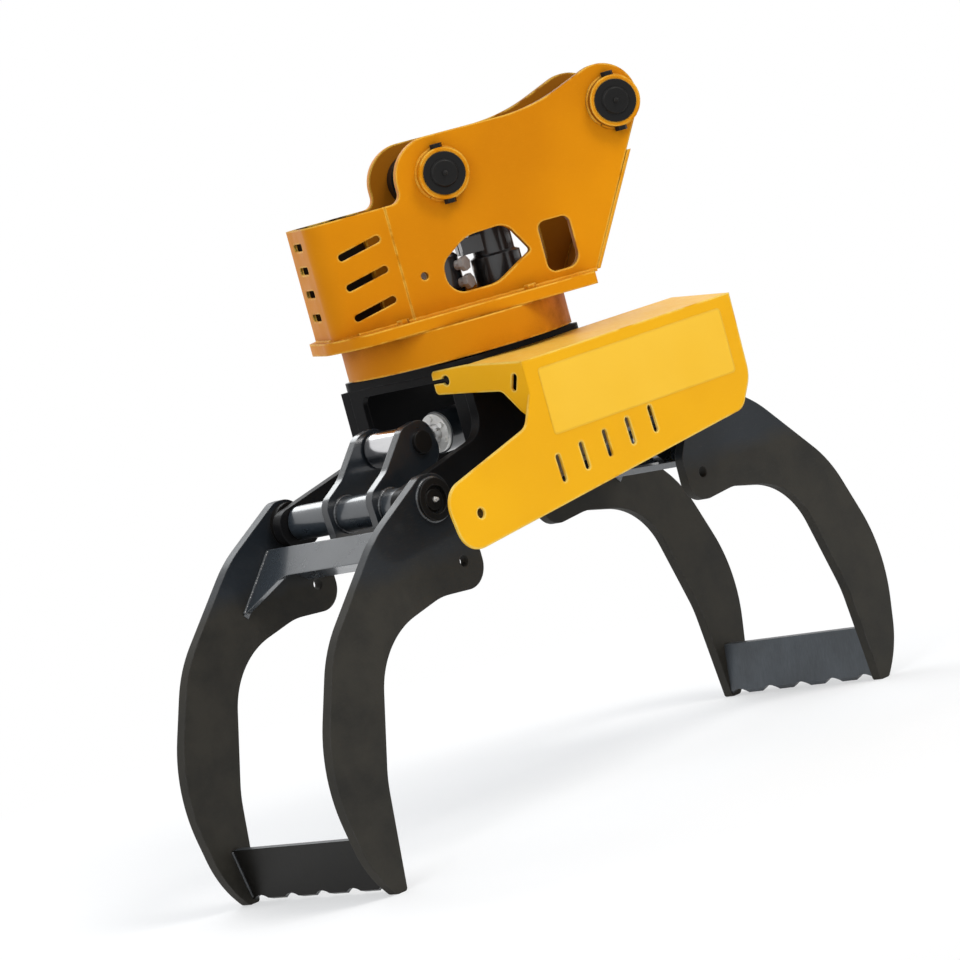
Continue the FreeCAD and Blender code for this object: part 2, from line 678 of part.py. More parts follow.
def frame_side_plate(label, side):
    body = new_body(label, grapple)
    sketch = new_sketch(body, "XZ", level=(frame_inner + d.frame_plate / 2) * side)
    ear_x = pivot_x + d.pivot_lobe + 5
    belly = -d.pivot_drop + 10
    outline(sketch, [
        (-d.frame_half_length, plate_bottom), (-d.frame_half_length, pivot_z + 76, 45),
        (-ear_x, pivot_z + 25, 28),
        (-ear_x, pivot_z - d.pivot_lobe, d.pivot_lobe - 3),
        (-pivot_x + 18, pivot_z - d.pivot_lobe, 34), (-pivot_x + 96, belly, 60),
        (pivot_x - 96, belly, 60), (pivot_x - 18, pivot_z - d.pivot_lobe, 34),
        (ear_x, pivot_z - d.pivot_lobe, d.pivot_lobe - 3),
        (ear_x, pivot_z + 25, 28),
        (d.frame_half_length, pivot_z + 76, 45), (d.frame_half_length, plate_bottom)])
    circle(sketch, -pivot_x, pivot_z, pivot_radius + d.pivot_bush)
    circle(sketch, pivot_x, pivot_z, pivot_radius + d.pivot_bush)
    pad(body, sketch, d.frame_plate)


frame_side_plate("frame_side_front", -1)
frame_side_plate("frame_side_rear", 1)

body = new_body("frame_end_plates", grapple)
for side in (-1, 1):
    sketch = new_sketch(body, "YZ", level=(d.frame_half_length - d.end_plate / 2) * side)
    opening = frame_inner - d.end_border
    outline(sketch, [
        (-frame_inner, plate_bottom), (-frame_inner, -d.end_depth), (-opening, -d.end_depth),
        (-opening, plate_bottom - 14, 16), (opening, plate_bottom - 14, 16), (opening, -d.end_depth),
        (frame_inner, -d.end_depth), (frame_inner, plate_bottom)])
    pad(body, sketch, d.end_plate)

bushes = []
for x in (-pivot_x.value, pivot_x.value):
    for side in (-1, 1):
        start = Vector(x, side * frame_inner.value, pivot_z.value)
        reach = Vector(0, side, 0)
        outer = Part.makeCylinder(pivot_radius.value + d.pivot_bush.value,
                                  d.frame_plate.value + d.side_play.value / 2, start, reach)
        inner = Part.makeCylinder(pivot_radius.value + d.pin_clearance.value, 100,
                                  start - reach * 20, reach)
        bushes.append(outer.cut(inner))
group("frame_pivot_bushes", grapple, bushes)


# Claws: each has two tines, a hub tube with two cranks, a cross plate and a serrated blade
def claw(name, place):
    collars = new_body("claw_%s_collars" % name, place)
    for end_name, side in (("front", -1), ("rear", 1)):
        side_here = side if name == "left" else -side
        body = new_body("claw_%s_tine_%s" % (name, end_name), place)
        sketch = new_sketch(body, "XZ", level=(tine_inner + d.tine_plate / 2) * side_here)
        outline(sketch, [
            (-pivot_x - 16, pivot_z + 46, 30), (-pivot_x - 150, pivot_z - 28, 260),
            (-pivot_x - 306, pivot_z - 180, 240), (-pivot_x - 390, pivot_z - 378, 300),
            (-pivot_x - 352, pivot_z - 560, 200), (-pivot_x - 312, pivot_z - 606, 8),
            (-pivot_x - 288, pivot_z - 606, 6), (-pivot_x - 266, pivot_z - 420, 240),
            (-pivot_x - 196, pivot_z - 196, 150), (-pivot_x - 40, pivot_z - 162, 120),
            (-pivot_x + 76, pivot_z - 172, 43), (-pivot_x + 74, pivot_z - 80, 40),
            (-pivot_x + 42, pivot_z - 30, 60), (-pivot_x + 44, pivot_z + 46, 42)])
        circle(sketch, -pivot_x, pivot_z, pivot_radius)
        circle(sketch, -pivot_x + 32, pivot_z - 118, 10)
        pad(body, sketch, d.tine_plate)
        add_turned(collars, "Y", (-pivot_x, zero, pivot_z), ring(
            pivot_radius + 5, d.tine_collar, tine_outer * side_here,
            (tine_outer + d.tine_collar_width) * side_here))
        add_turned(collars, "Y", (-pivot_x, zero, pivot_z), ring(
            pivot_radius, d.tine_collar + 3, (tine_inner - d.tine_spacer) * side_here,
            tine_inner * side_here))
    turned("claw_%s_pivot_pin" % name, place, "Y", (-pivot_x, zero, pivot_z),
           rod(pivot_radius, -tine_outer - 4, tine_outer + 4))
    turned("claw_%s_hub_tube" % name, place, "Y", (-pivot_x, zero, pivot_z), ring(
        pivot_radius, pivot_radius + d.tube_wall, -frame_inner + 2, frame_inner - 2))
    crank_x, crank_z = -pivot_x + d.crank_x, pivot_z + d.crank_z
    crank_y = d.crank_offset if name == "left" else -d.crank_offset
    crank_back, crank_front = crank_y - crank_face - d.crank_plate, crank_y + crank_face + d.crank_plate
    body = new_body("claw_%s_cranks" % name, place)
    for side in (-1, 1):
        sketch = new_sketch(body, "XZ", level=crank_y + (crank_face + d.crank_plate / 2) * side)
        outline(sketch, [
            (-pivot_x - 46, pivot_z + 30, 30), (-pivot_x - 40, pivot_z - 50.8),
            (-pivot_x + 14, pivot_z - 88.8), (-pivot_x + 46, pivot_z - 60, 30),
            (-pivot_x + 60, pivot_z + 6, 60), (crank_x + 44, crank_z - 30, 34),
            (crank_x + 26, crank_z + 44, 34), (crank_x - 34, crank_z + 34, 34),
            (-pivot_x + 6, pivot_z + 60, 60)])
        circle(sketch, -pivot_x, pivot_z, pivot_radius + d.tube_wall)
        circle(sketch, crank_x, crank_z, d.crank_pin / 2)
        pad(body, sketch, d.crank_plate)
    turned("claw_%s_cylinder_pin" % name, place, "Y", (crank_x, zero, crank_z), [
        (zero, crank_back - 8), (d.crank_pin / 2 + 5, crank_back - 8),
        (d.crank_pin / 2 + 5, crank_back), (d.crank_pin / 2, crank_back),
        (d.crank_pin / 2, crank_front + 8), (zero, crank_front + 8)])
    body = new_body("claw_%s_cross_plate" % name, place)
    sketch = new_sketch(body, "XZ")
    outline(sketch, [
        (-pivot_x - 62, pivot_z - 42), (-pivot_x - 50, pivot_z - 44), (-pivot_x + 14, pivot_z - 89),
        (-pivot_x + 22, pivot_z - 92), (-pivot_x + 14, pivot_z - 104), (-pivot_x - 60, pivot_z - 56)])
    pad(body, sketch, tine_inner * 2)
    sketch = new_sketch(body, "XZ")
    outline(sketch, [
        (-pivot_x - 59, pivot_z - 30), (-pivot_x - 153, pivot_z - 126),
        (-pivot_x - 144, pivot_z - 134), (-pivot_x - 50, pivot_z - 38)])
    pad(body, sketch, tine_inner * 2)
    arch_foot, arch_side = tine_inner - 1, tine_inner - 72
    sketch = new_sketch(body, "YZ", level=-pivot_x - 119)
    outline(sketch, [
        (-arch_foot, pivot_z - 150), (-arch_foot, pivot_z - 126), (-arch_side, pivot_z - 74, 50),
        (arch_side, pivot_z - 74, 50), (arch_foot, pivot_z - 126), (arch_foot, pivot_z - 150)])
    pocket(body, sketch, Size(110))
    body = new_body("claw_%s_blade" % name, place)
    sketch = new_sketch(body, "XZ")
    outline(sketch, [
        (-pivot_x - 318, pivot_z - 505), (-pivot_x - 302, pivot_z - 505), (-pivot_x - 288, pivot_z - 594),
        (-pivot_x - 292, pivot_z - 602), (-pivot_x - 300, pivot_z - 598)])
    pad(body, sketch, tine_inner * 2)
    sketch = new_sketch(body, "YZ", level=-pivot_x - 300)
    for k in range(5):
        circle(sketch, d.blade_pitch * (k - 2), pivot_z - 622, 30)
    pocket(body, sketch, Size(80))


for claw_name, claw_place in claw_places.items():
    claw(claw_name, claw_place)

# Level cylinder between the two cranks
rod_eye_x, eye_z = -pivot_x + d.crank_x, pivot_z + d.crank_z
barrel_eye_x = pivot_x - d.crank_x
body = new_body("claw_cylinder_barrel", grapple)
gland_face = barrel_eye_x - d.barrel_length
barrel_foot = barrel_eye_x - d.cylinder_eye - 6
add_turned(body, "X", (zero, d.crank_offset, eye_z), [
    (zero, barrel_foot), (zero, barrel_foot - 18), (d.barrel_bore, barrel_foot - 18),
    (d.barrel_bore, gland_face + 8), (d.barrel_radius, gland_face + 8), (d.barrel_radius, barrel_foot)])
port_near, port_far = gland_face + 62, barrel_foot - 34
port_face = d.crank_offset - d.barrel_radius - 2
for port_x in (port_near, port_far):
    add_turned(body, "Y", (port_x, zero, eye_z + 4), [
        (zero, port_face), (Size(15), port_face), (Size(15), port_face + 8), (zero, port_face + 8)])
sketch = new_sketch(body, "XZ", level=d.crank_offset)
outline(sketch, [
    (barrel_foot - 4, eye_z - 26), (barrel_eye_x + 2, eye_z - d.cylinder_eye, 6),
    (barrel_eye_x + d.cylinder_eye, eye_z - d.cylinder_eye + 2, 28),
    (barrel_eye_x + d.cylinder_eye, eye_z + d.cylinder_eye - 2, 28),
    (barrel_eye_x + 2, eye_z + d.cylinder_eye, 6), (barrel_foot - 4, eye_z + 26)])
pad(body, sketch, d.eye_width)
sketch = new_sketch(body, "XZ", level=d.crank_offset)
circle(sketch, barrel_eye_x, eye_z, d.crank_pin / 2 + d.pin_clearance)
pocket(body, sketch, d.eye_width * 2)

gland = turned("claw_cylinder_gland", grapple, "X", (zero, d.crank_offset, eye_z), [
    (d.rod_radius + d.pin_clearance, gland_face), (d.barrel_radius - 3, gland_face),
    (d.barrel_radius - 3, gland_face + 8), (d.barrel_bore, gland_face + 8),
    (d.barrel_bore, gland_face + 42), (d.rod_radius + d.pin_clearance, gland_face + 42)])
screw_circle = (d.rod_radius + d.barrel_radius - 3) / 2
sketch = new_sketch(gland, "YZ", level=gland_face - 2.5)
for k in range(6):
    screw_angle = Size(30 + 60 * k)
    circle(sketch, screw_circle * cosine(screw_angle) + d.crank_offset,
           screw_circle * sine(screw_angle) + eye_z, 5)
pad(gland, sketch, Size(5))

# Ports of the cylinder with a steel pipe along the barrel
pipe_y, pipe_z = d.crank_offset - d.barrel_radius - 11, eye_z + 4
for port_x in (port_near, port_far):
    add_turned(gland, "Y", (port_x, zero, pipe_z), [
        (zero, port_face), (Size(12), port_face), (Size(12), pipe_y - 5), (Size(9), pipe_y - 9),
        (zero, pipe_y - 9)])
add_turned(gland, "X", (zero, pipe_y, pipe_z), [
    (zero, port_near), (Size(8.5), port_near), (Size(8.5), port_near + 24), (Size(5), port_near + 26),
    (Size(5), port_far - 26), (Size(8.5), port_far - 24), (Size(8.5), port_far), (zero, port_far)])

body = new_body("claw_cylinder_rod", grapple)
rod_end = rod_eye_x + d.rod_length
add_turned(body, "X", (zero, d.crank_offset, eye_z), [
    (zero, rod_eye_x + d.cylinder_eye - 6), (d.rod_radius, rod_eye_x + d.cylinder_eye - 6),
    (d.rod_radius, rod_end - d.piston_width), (d.rod_radius - 6, rod_end - d.piston_width),
    (d.rod_radius - 6, rod_end), (zero, rod_end)])
sketch = new_sketch(body, "XZ", level=d.crank_offset)
circle(sketch, rod_eye_x, eye_z, d.cylinder_eye)
pad(body, sketch, d.eye_width)
sketch = new_sketch(body, "XZ", level=d.crank_offset)
circle(sketch, rod_eye_x, eye_z, d.crank_pin / 2 + d.pin_clearance)
pocket(body, sketch, d.eye_width * 2)
turned("claw_cylinder_piston", grapple, "X", (zero, d.crank_offset, eye_z), ring(
    d.rod_radius - 6, d.barrel_bore - 0.3, rod_end - d.piston_width, rod_end - 1))

# Saw guard: a face, a sloping top and a narrow flange with a keyhole tab
guard_y = -guard_face
guard_left = -d.frame_half_length - 1
guard_right = pivot_x + 43
body = new_body("saw_guard", grapple)
sketch = new_sketch(body, "XZ", level=guard_y + d.guard_sheet / 2)
nose_x, nose_z = -pivot_x + 1, pivot_z - 37
guard_top = plate_bottom - 7
outline(sketch, [
    (guard_left, guard_top), (guard_left, guard_top - 50, 20), (guard_left - 32, guard_top - 110, 30),
    (nose_x - 72, nose_z + 52, 44), (nose_x - 54, nose_z - 62, 46),
    (guard_right - 41, pivot_z - 21, 34), (guard_right - 3, pivot_z + 32, 60),
    (guard_right, guard_top, 8)])
circle(sketch, nose_x, nose_z, 9)
for k in range(5):
    slot_x = -134 + 62 * k
    slot_top = -204 + 7 * k
    slot(sketch, slot_x, slot_top, slot_x + 2, slot_top - 38, 12)
pad(body, sketch, d.guard_sheet)
guard_back = -d.frame_half_width - 2
guard_rise = Size(13)
sketch = new_sketch(body, "YZ", level=(guard_left + guard_right) / 2)
outline(sketch, [
    (guard_y, guard_top - d.guard_sheet), (guard_back, guard_top + guard_rise - d.guard_sheet),
    (guard_back, guard_top + guard_rise), (guard_y, guard_top)])
pad(body, sketch, guard_right - guard_left)
sketch = new_sketch(body, "YZ", level=guard_left - d.guard_sheet / 2 + 0.5)
outline(sketch, [
    (guard_y, guard_top), (guard_y, guard_top - 112, 10), (guard_y + 32, guard_top - 84, 30),
    (guard_y + 66, guard_top - 44, 20), (guard_back, guard_top - 36, 20), (-84, guard_top - 28, 8),
    (-84, guard_top + 14, 8), (guard_back, guard_top + 14)])
circle(sketch, -116, guard_top - 6, 9)
slot(sketch, guard_y + 26, guard_top - 24, guard_y + 34, guard_top - 42, 12)
pad(body, sketch, d.guard_sheet)
sketch = new_sketch(body, "YZ", level=guard_left - d.guard_sheet / 2 + 0.5)
outline(sketch, [(-116, guard_top - 10), (-80, guard_top - 9), (-80, guard_top - 2), (-116, guard_top - 2)])
pocket(body, sketch, d.guard_sheet * 2)

# Saw unit: mounting plate, motor, swinging holder with its feed gear, bar, chain and sprocket
saw_x, saw_z = d.saw_x, -d.saw_drop
mount_y = -d.frame_half_width
body = new_body("saw_mounting_plate", grapple)
sketch = new_sketch(body, "XZ", level=mount_y - d.saw_plate / 2)
outline(sketch, [(saw_x - 120, saw_z - 58, 14), (saw_x + 56, saw_z - 58, 30), (saw_x + 80, saw_z, 30),
                 (saw_x + 80, plate_bottom - 6, 14), (saw_x - 120, plate_bottom - 6, 14)])
circle(sketch, saw_x, saw_z, 20)
pad(body, sketch, d.saw_plate)
motor_back = mount_y - d.saw_plate
motor_end = -bar_plane - 16
turned("saw_motor", grapple, "Y", (saw_x, zero, saw_z), [
    (zero, motor_back), (d.saw_motor + 9, motor_back), (d.saw_motor + 9, motor_back - 10),
    (d.saw_motor, motor_back - 10), (d.saw_motor, motor_back - 58), (d.saw_snout, motor_back - 58),
    (d.saw_snout, motor_back - 84), (Size(10), motor_back - 84), (Size(10), motor_end),
    (zero, motor_end)])

doc.recompute()

bar_angle = math.radians(d.bar_rest.value)
along = Vector(math.cos(bar_angle), 0, math.sin(bar_angle))
across = Vector(-along.z, 0, along.x)
saw_pivot = Vector(saw_x.value, 0, saw_z.value)
level_y = -bar_plane.value


def bar_point(reach, side, y=0.0):
    return saw_pivot + along * reach + across * side + Vector(0, y, 0)


def bar_loop(tail, tail_half, nose_end_reach, half):
    """A long closed loop: a straight tail, two nearly straight sides and a round nose."""
    nose = nose_end_reach - half
    edges = [
        Part.LineSegment(bar_point(tail, -tail_half), bar_point(nose, -half)).toShape(),
        Part.Arc(bar_point(nose, -half), bar_point(nose + half, 0), bar_point(nose, half)).toShape(),
        Part.LineSegment(bar_point(nose, half), bar_point(tail, tail_half)).toShape(),
        Part.LineSegment(bar_point(tail, tail_half), bar_point(tail, -tail_half)).toShape()]
    return Part.Wire(edges)


def plate_between(wire, y_low, y_high):
    solid = Part.Face(wire).extrude(Vector(0, y_high - y_low, 0))
    solid.translate(Vector(0, y_low, 0))
    return solid


half_bar = d.bar_half.value
bar_half_sheet = d.bar_sheet.value / 2
rail = d.chain_rail.value
nose_reach = d.bar_length.value - half_bar
nose_pitch = half_bar + rail
wheel_pitch = d.sprocket_teeth.value * d.chain_pitch.value / math.pi
lean = (nose_pitch - wheel_pitch) / nose_reach
bar_tail = 48.0
bar = plate_between(bar_loop(bar_tail, wheel_pitch + lean * bar_tail - rail, d.bar_length.value, half_bar),
                    level_y - bar_half_sheet, level_y + bar_half_sheet)
groove = plate_between(bar_loop(bar_tail - 20, half_bar + 20, d.bar_length.value + 20, half_bar + 20),
                       level_y - 1, level_y + 1)
core = plate_between(bar_loop(bar_tail - 30, wheel_pitch - rail - 9, d.bar_length.value - 9, half_bar - 9),
                     level_y - 2, level_y + 2)
bar = bar.cut(groove.cut(core))
for reach in (72, 104):
    bar = bar.cut(Part.makeCylinder(8, 40, bar_point(reach, 0, level_y - 20), Vector(0, 1, 0)))
group("guide_bar", grapple, [bar])

holder_back = motor_back.value - 60
holder_front = level_y + bar_half_sheet
hub = Part.makeCylinder(48, 22, Vector(saw_pivot.x, holder_back, saw_pivot.z), Vector(0, -1, 0))
arm = plate_between(Part.makePolygon([bar_point(0, -20), bar_point(124, -20), bar_point(124, 20),
                                      bar_point(0, 20), bar_point(0, -20)]),
                    holder_front, holder_back)
relief = Part.makeCylinder(41, 60, Vector(saw_pivot.x, holder_back - 22, saw_pivot.z), Vector(0, -1, 0))
snout_bore = Part.makeCylinder(d.saw_snout.value + d.pin_clearance.value, 200,
                               Vector(saw_pivot.x, 0, saw_pivot.z), Vector(0, -1, 0))
snout_bore.translate(Vector(0, -150, 0))
feed_step = d.feed_module.value
sector_wire = Part.makePolygon([
    Vector(point.x, 0, point.y) for point in gear_points(
        int(d.feed_teeth.value), feed_step, feed_pitch.value - 1.2 * feed_step,
        feed_pitch.value + 0.9 * feed_step, saw_pivot.x, saw_pivot.z, math.pi / 2)])
sector = Part.Face(sector_wire).extrude(Vector(0, 14, 0))
if sector.BoundBox.YMin > -1:
    sector.translate(Vector(0, holder_back - 18, 0))
holder = hub.fuse(sector).fuse(arm).cut(relief).cut(snout_bore)
for reach in (72, 104):
    holder = holder.cut(Part.makeCylinder(8, 60, bar_point(reach, 0, level_y - 10), Vector(0, 1, 0)))
group("saw_holder", grapple, [holder.removeSplitter()])

clamp_front = level_y - bar_half_sheet
clamp = plate_between(Part.makePolygon([bar_point(56, -18), bar_point(120, -18), bar_point(120, 18),
                                        bar_point(56, 18), bar_point(56, -18)]),
                      clamp_front - 6, clamp_front)
studs = []
for reach in (72, 104):
    hole = Part.makeCylinder(8, 40, bar_point(reach, 0, clamp_front - 10), Vector(0, 1, 0))
    clamp = clamp.cut(hole)
    foot = bar_point(reach, 0, clamp_front - 6)
    studs.append(hexagon(24, 11, foot, Vector(0, -1, 0)).fuse(
        Part.makeCylinder(8, 30, foot, Vector(0, 1, 0))))
group("bar_clamp_plate", grapple, [clamp])
group("bar_clamp_bolts", grapple, studs)

# Chain: drive links and pairs of side straps by turns, rivet to rivet round sprocket and nose
def chain_joint(distance):
    """A rivet's place, its reach along the bar and its side, at a distance round the loop."""
    run = nose_reach * math.cos(math.asin(lean))
    sweep = math.pi + 2 * math.asin(lean)
    wheel_sweep = 2 * math.pi - sweep
    loop = 2 * run + sweep * nose_pitch + wheel_sweep * wheel_pitch
    distance = distance % loop
    square = math.pi / 2 + math.asin(lean)
    if distance < run:
        start = wheel_pitch * math.cos(square), wheel_pitch * math.sin(square)
        return start[0] + distance * math.sin(square), start[1] - distance * math.cos(square)
    distance -= run
    if distance < sweep * nose_pitch:
        angle = square - distance / nose_pitch
        return nose_reach + nose_pitch * math.cos(angle), nose_pitch * math.sin(angle)
    distance -= sweep * nose_pitch
    if distance < run:
        start = nose_reach + nose_pitch * math.cos(square), -nose_pitch * math.sin(square)
        return start[0] - distance * math.sin(square), start[1] - distance * math.cos(square)
    angle = -square - (distance - run) / wheel_pitch
    return wheel_pitch * math.cos(angle), wheel_pitch * math.sin(angle)


def loop_length():
    sweep = math.pi + 2 * math.asin(lean)
    run = nose_reach * math.cos(math.asin(lean))
    return 2 * run + sweep * nose_pitch + (2 * math.pi - sweep) * wheel_pitch


def link_plate(corners, low, high):
    """A flat link: corners (along, outward) from the middle of two rivets, between two levels of y."""
    points = [Vector(a, 0, b) for a, b in corners]
    plate = Part.Face(Part.makePolygon(points + points[:1])).extrude(Vector(0, high - low, 0))
    plate.translate(Vector(0, low, 0))
    return plate


def rivet(x, radius, low, high):
    return Part.makeCylinder(radius, high - low, Vector(x, low, 0), Vector(0, 1, 0))


link_count = 2 * int(round(loop_length() / (2 * d.chain_pitch.value)))
link_step = loop_length() / link_count
half_step = link_step / 2
end = half_step + 4.4
drive_link = link_plate([
    (-end, -2.2), (-half_step, -3), (-6, -3), (-3.5, -11), (2, -11), (6.5, -3), (half_step, -3),
    (end, -2.2), (end, 2.4), (half_step, 4.4), (-half_step, 4.4), (-end, 2.4)], -0.8, 0.8)
for x in (-half_step, half_step):
    drive_link = drive_link.cut(rivet(x, 2.8, -5, 5))
tie_corners = [(-end, -2.4), (-end + 2.4, -3), (end - 2.4, -3), (end, -2.4), (end, 2.6), (half_step, 5.2),
               (4, 4.4), (-4, 4.4), (-half_step, 5.2), (-end, 2.6)]
tooth_top = d.chain_tooth.value
cutter_corners = [(-end, -2.4), (-end + 2.4, -3), (end - 2.4, -3), (end, -2.4), (end, 7), (7, tooth_top - 2),
                  (2, 5), (-1, 5), (-2, tooth_top), (-end + 1, tooth_top - 2.5), (-end, 3)]


def strap_pair(near_corners, far_corners):
    """Two side straps joined by their two rivets with hexagon heads."""
    pair = link_plate(near_corners, -2.7, -0.9).fuse(link_plate(far_corners, 0.9, 2.7))
    for x in (-half_step, half_step):
        pair = pair.fuse(rivet(x, 2.5, -1.5, 1.5))
        pair = pair.fuse(hexagon(6, 0.7, Vector(x, -2.7, 0), Vector(0, -1, 0)))
        pair = pair.fuse(hexagon(6, 0.7, Vector(x, 2.7, 0), Vector(0, 1, 0)))
    return pair.removeSplitter()


def with_cutting_top(pair, side):
    """Adds the bent-over cutting top of a cutter, on one side of the chain."""
    top = link_plate([(-end + 1, tooth_top - 3.4), (-2, tooth_top - 1.4), (-2, tooth_top),
                      (-end + 1, tooth_top - 2.5)], 1.2, 5)
    if side < 0:
        top = top.mirror(Vector(0, 0, 0), Vector(0, 1, 0))
    return pair.fuse(top)


tie_pair = strap_pair(tie_corners, tie_corners)
right_cutter = with_cutting_top(strap_pair(tie_corners, cutter_corners), 1)
left_cutter = with_cutting_top(strap_pair(cutter_corners, tie_corners), -1)
strap_order = (right_cutter, tie_pair, left_cutter, tie_pair)
chain_links = []
for k in range(link_count):
    first, second = chain_joint(k * link_step), chain_joint((k + 1) * link_step)
    link = (drive_link if k % 2 else strap_order[(k // 2) % 4]).copy()
    heading = math.atan2(first[1] - second[1], second[0] - first[0])
    place = bar_point((first[0] + second[0]) / 2, (first[1] + second[1]) / 2, level_y)
    link.Placement = Placement(place, Rotation(Vector(0, 1, 0), math.degrees(heading - bar_angle)))
    chain_links.append(link)
group("saw_chain", grapple, chain_links)

wheel = Size(wheel_pitch - 4.3)
wheel_middle = Size(level_y)
turned("saw_sprocket", grapple, "Y", (saw_x, zero, saw_z), [
    (Size(10) + d.pin_clearance, wheel_middle - 7), (wheel - 9, wheel_middle - 7),
    (wheel - 7, wheel_middle - 4.5), (wheel - 1, wheel_middle - 4.5), (wheel, wheel_middle - 3.5),
    (wheel, wheel_middle - 1.1), (wheel - 9.5, wheel_middle - 1.1), (wheel - 9.5, wheel_middle + 1.1),
    (wheel, wheel_middle + 1.1), (wheel, wheel_middle + 3.5), (wheel - 1, wheel_middle + 4.5),
    (wheel - 7, wheel_middle + 4.5), (wheel - 9, wheel_middle + 7),
    (Size(10) + d.pin_clearance, wheel_middle + 7)])

# Feed rack above the holder's gear, sliding in two closed cylinders
rack_z = saw_z.value + feed_pitch.value + 8
rack_y = holder_back - 11
rack_left, rack_right = saw_pivot.x - 58, saw_pivot.x + 148
rack = Part.makeCylinder(d.feed_rod.value, rack_right - rack_left,
                         Vector(rack_left, rack_y, rack_z), Vector(1, 0, 0))
pitch_step = math.pi * feed_step
rack_line = saw_z.value + feed_pitch.value
root_line = rack_line + 1.2 * feed_step
tip_line = rack_line - 0.9 * feed_step
tooth_half = 5.6
first_tooth, last_tooth = -3, 10
teeth_left = saw_pivot.x + pitch_step * first_tooth
teeth_right = saw_pivot.x + pitch_step * (last_tooth + 1)
rack = rack.cut(Part.makeBox(teeth_right - teeth_left, 60, 40,
                             Vector(teeth_left, rack_y - 30, root_line - 40)))
for k in range(first_tooth, last_tooth + 1):
    middle = saw_pivot.x + pitch_step * (k + 0.5)
    tooth = Part.makePolygon([
        Vector(middle - 0.34 * pitch_step, rack_y - tooth_half, root_line + 1),
        Vector(middle - 0.13 * pitch_step, rack_y - tooth_half, tip_line),
        Vector(middle + 0.13 * pitch_step, rack_y - tooth_half, tip_line),
        Vector(middle + 0.34 * pitch_step, rack_y - tooth_half, root_line + 1),
        Vector(middle - 0.34 * pitch_step, rack_y - tooth_half, root_line + 1)])
    rack = rack.fuse(Part.Face(tooth).extrude(Vector(0, 2 * tooth_half, 0)))
rack = rack.removeSplitter()
group("saw_feed_rack", grapple, [rack])

tubes = []
inner_radius = d.feed_rod.value + d.pin_clearance.value
outer_radius = d.feed_rod.value + d.feed_wall.value
for low, high, closed in ((saw_pivot.x - 160, saw_pivot.x - 44, -1), (saw_pivot.x + 44, saw_pivot.x + 156, 1)):
    outer = Part.makeCylinder(outer_radius, high - low, Vector(low, rack_y, rack_z), Vector(1, 0, 0))
    start = low - 10 if closed > 0 else low + 5
    inner = Part.makeCylinder(inner_radius, high - low + 5, Vector(start, rack_y, rack_z), Vector(1, 0, 0))
    foot = Part.makeBox(26, motor_back.value - rack_y, 16,
                        Vector((low + high) / 2 - 13, rack_y, rack_z - 8))
    tubes.append(outer.fuse(foot).cut(inner))
group("saw_feed_cylinders", grapple, tubes)

doc.recompute()

faults = []
for item in doc.Objects:
    if "Invalid" in item.State or "Error" in item.State:
        faults.append("%s is %s" % (item.Label, item.State))
for piece in pieces:
    if piece.Shape.isNull() or not piece.Shape.isValid() or not piece.Shape.Solids:
        faults.append("%s has no valid shape" % piece.Label)
if faults:
    raise RuntimeError("; ".join(faults))

os.makedirs("parts", exist_ok=True)
for piece in pieces:
    piece.Shape.exportStep("parts/%s.step" % piece.Label)
print("%d pieces written" % len(pieces))
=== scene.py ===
import math

import bpy
import bmesh
from mathutils import Matrix, Vector


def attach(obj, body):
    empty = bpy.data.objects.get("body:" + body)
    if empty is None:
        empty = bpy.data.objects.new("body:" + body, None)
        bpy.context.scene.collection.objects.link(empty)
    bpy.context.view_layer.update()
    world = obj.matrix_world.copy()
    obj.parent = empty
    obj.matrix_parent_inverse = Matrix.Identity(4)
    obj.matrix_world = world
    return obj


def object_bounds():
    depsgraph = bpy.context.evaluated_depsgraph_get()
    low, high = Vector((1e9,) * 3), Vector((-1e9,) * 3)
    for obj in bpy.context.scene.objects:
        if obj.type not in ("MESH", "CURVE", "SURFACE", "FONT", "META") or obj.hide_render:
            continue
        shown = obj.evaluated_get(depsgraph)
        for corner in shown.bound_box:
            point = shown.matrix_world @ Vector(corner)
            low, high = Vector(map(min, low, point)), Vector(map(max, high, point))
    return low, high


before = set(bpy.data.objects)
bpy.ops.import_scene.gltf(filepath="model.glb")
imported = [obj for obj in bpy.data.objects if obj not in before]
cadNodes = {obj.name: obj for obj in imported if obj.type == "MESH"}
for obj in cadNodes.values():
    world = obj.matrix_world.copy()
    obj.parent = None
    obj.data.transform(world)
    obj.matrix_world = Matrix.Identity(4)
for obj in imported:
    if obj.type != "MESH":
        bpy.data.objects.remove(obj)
cadLow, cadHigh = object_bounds()
print("frame loaded:", len(cadNodes), "nodes")

# The hitch stands turned about the slew axis, everything below it is square to the row frame
hitchTurn = math.radians(-31)
slewBack = 0.024  # slew axis behind the arm pin
slewDrop = 0.318  # underside of the slew ring below the arm pin
slewAxis = Vector((-slewBack * math.cos(hitchTurn), -slewBack * math.sin(hitchTurn), -slewDrop))
armPin = (0.0, 0.0)
linkPin = (0.334, 0.044)  # ahead of the arm pin and above it
clawPivot = (0.344, -0.212)  # out from the slew axis and up from the slew ring


# Camera, placed from the arm pin
viewFrom = {
    "place": (-5.1928, -5.5205, 0.0825),
    "heading": 42.87,  # degrees from +Y towards +X
    "down": 4.78,
    "roll": -15.22,
    "lens": 158.2, "sensor": 36,
    "near": 0.5, "far": 60,
}


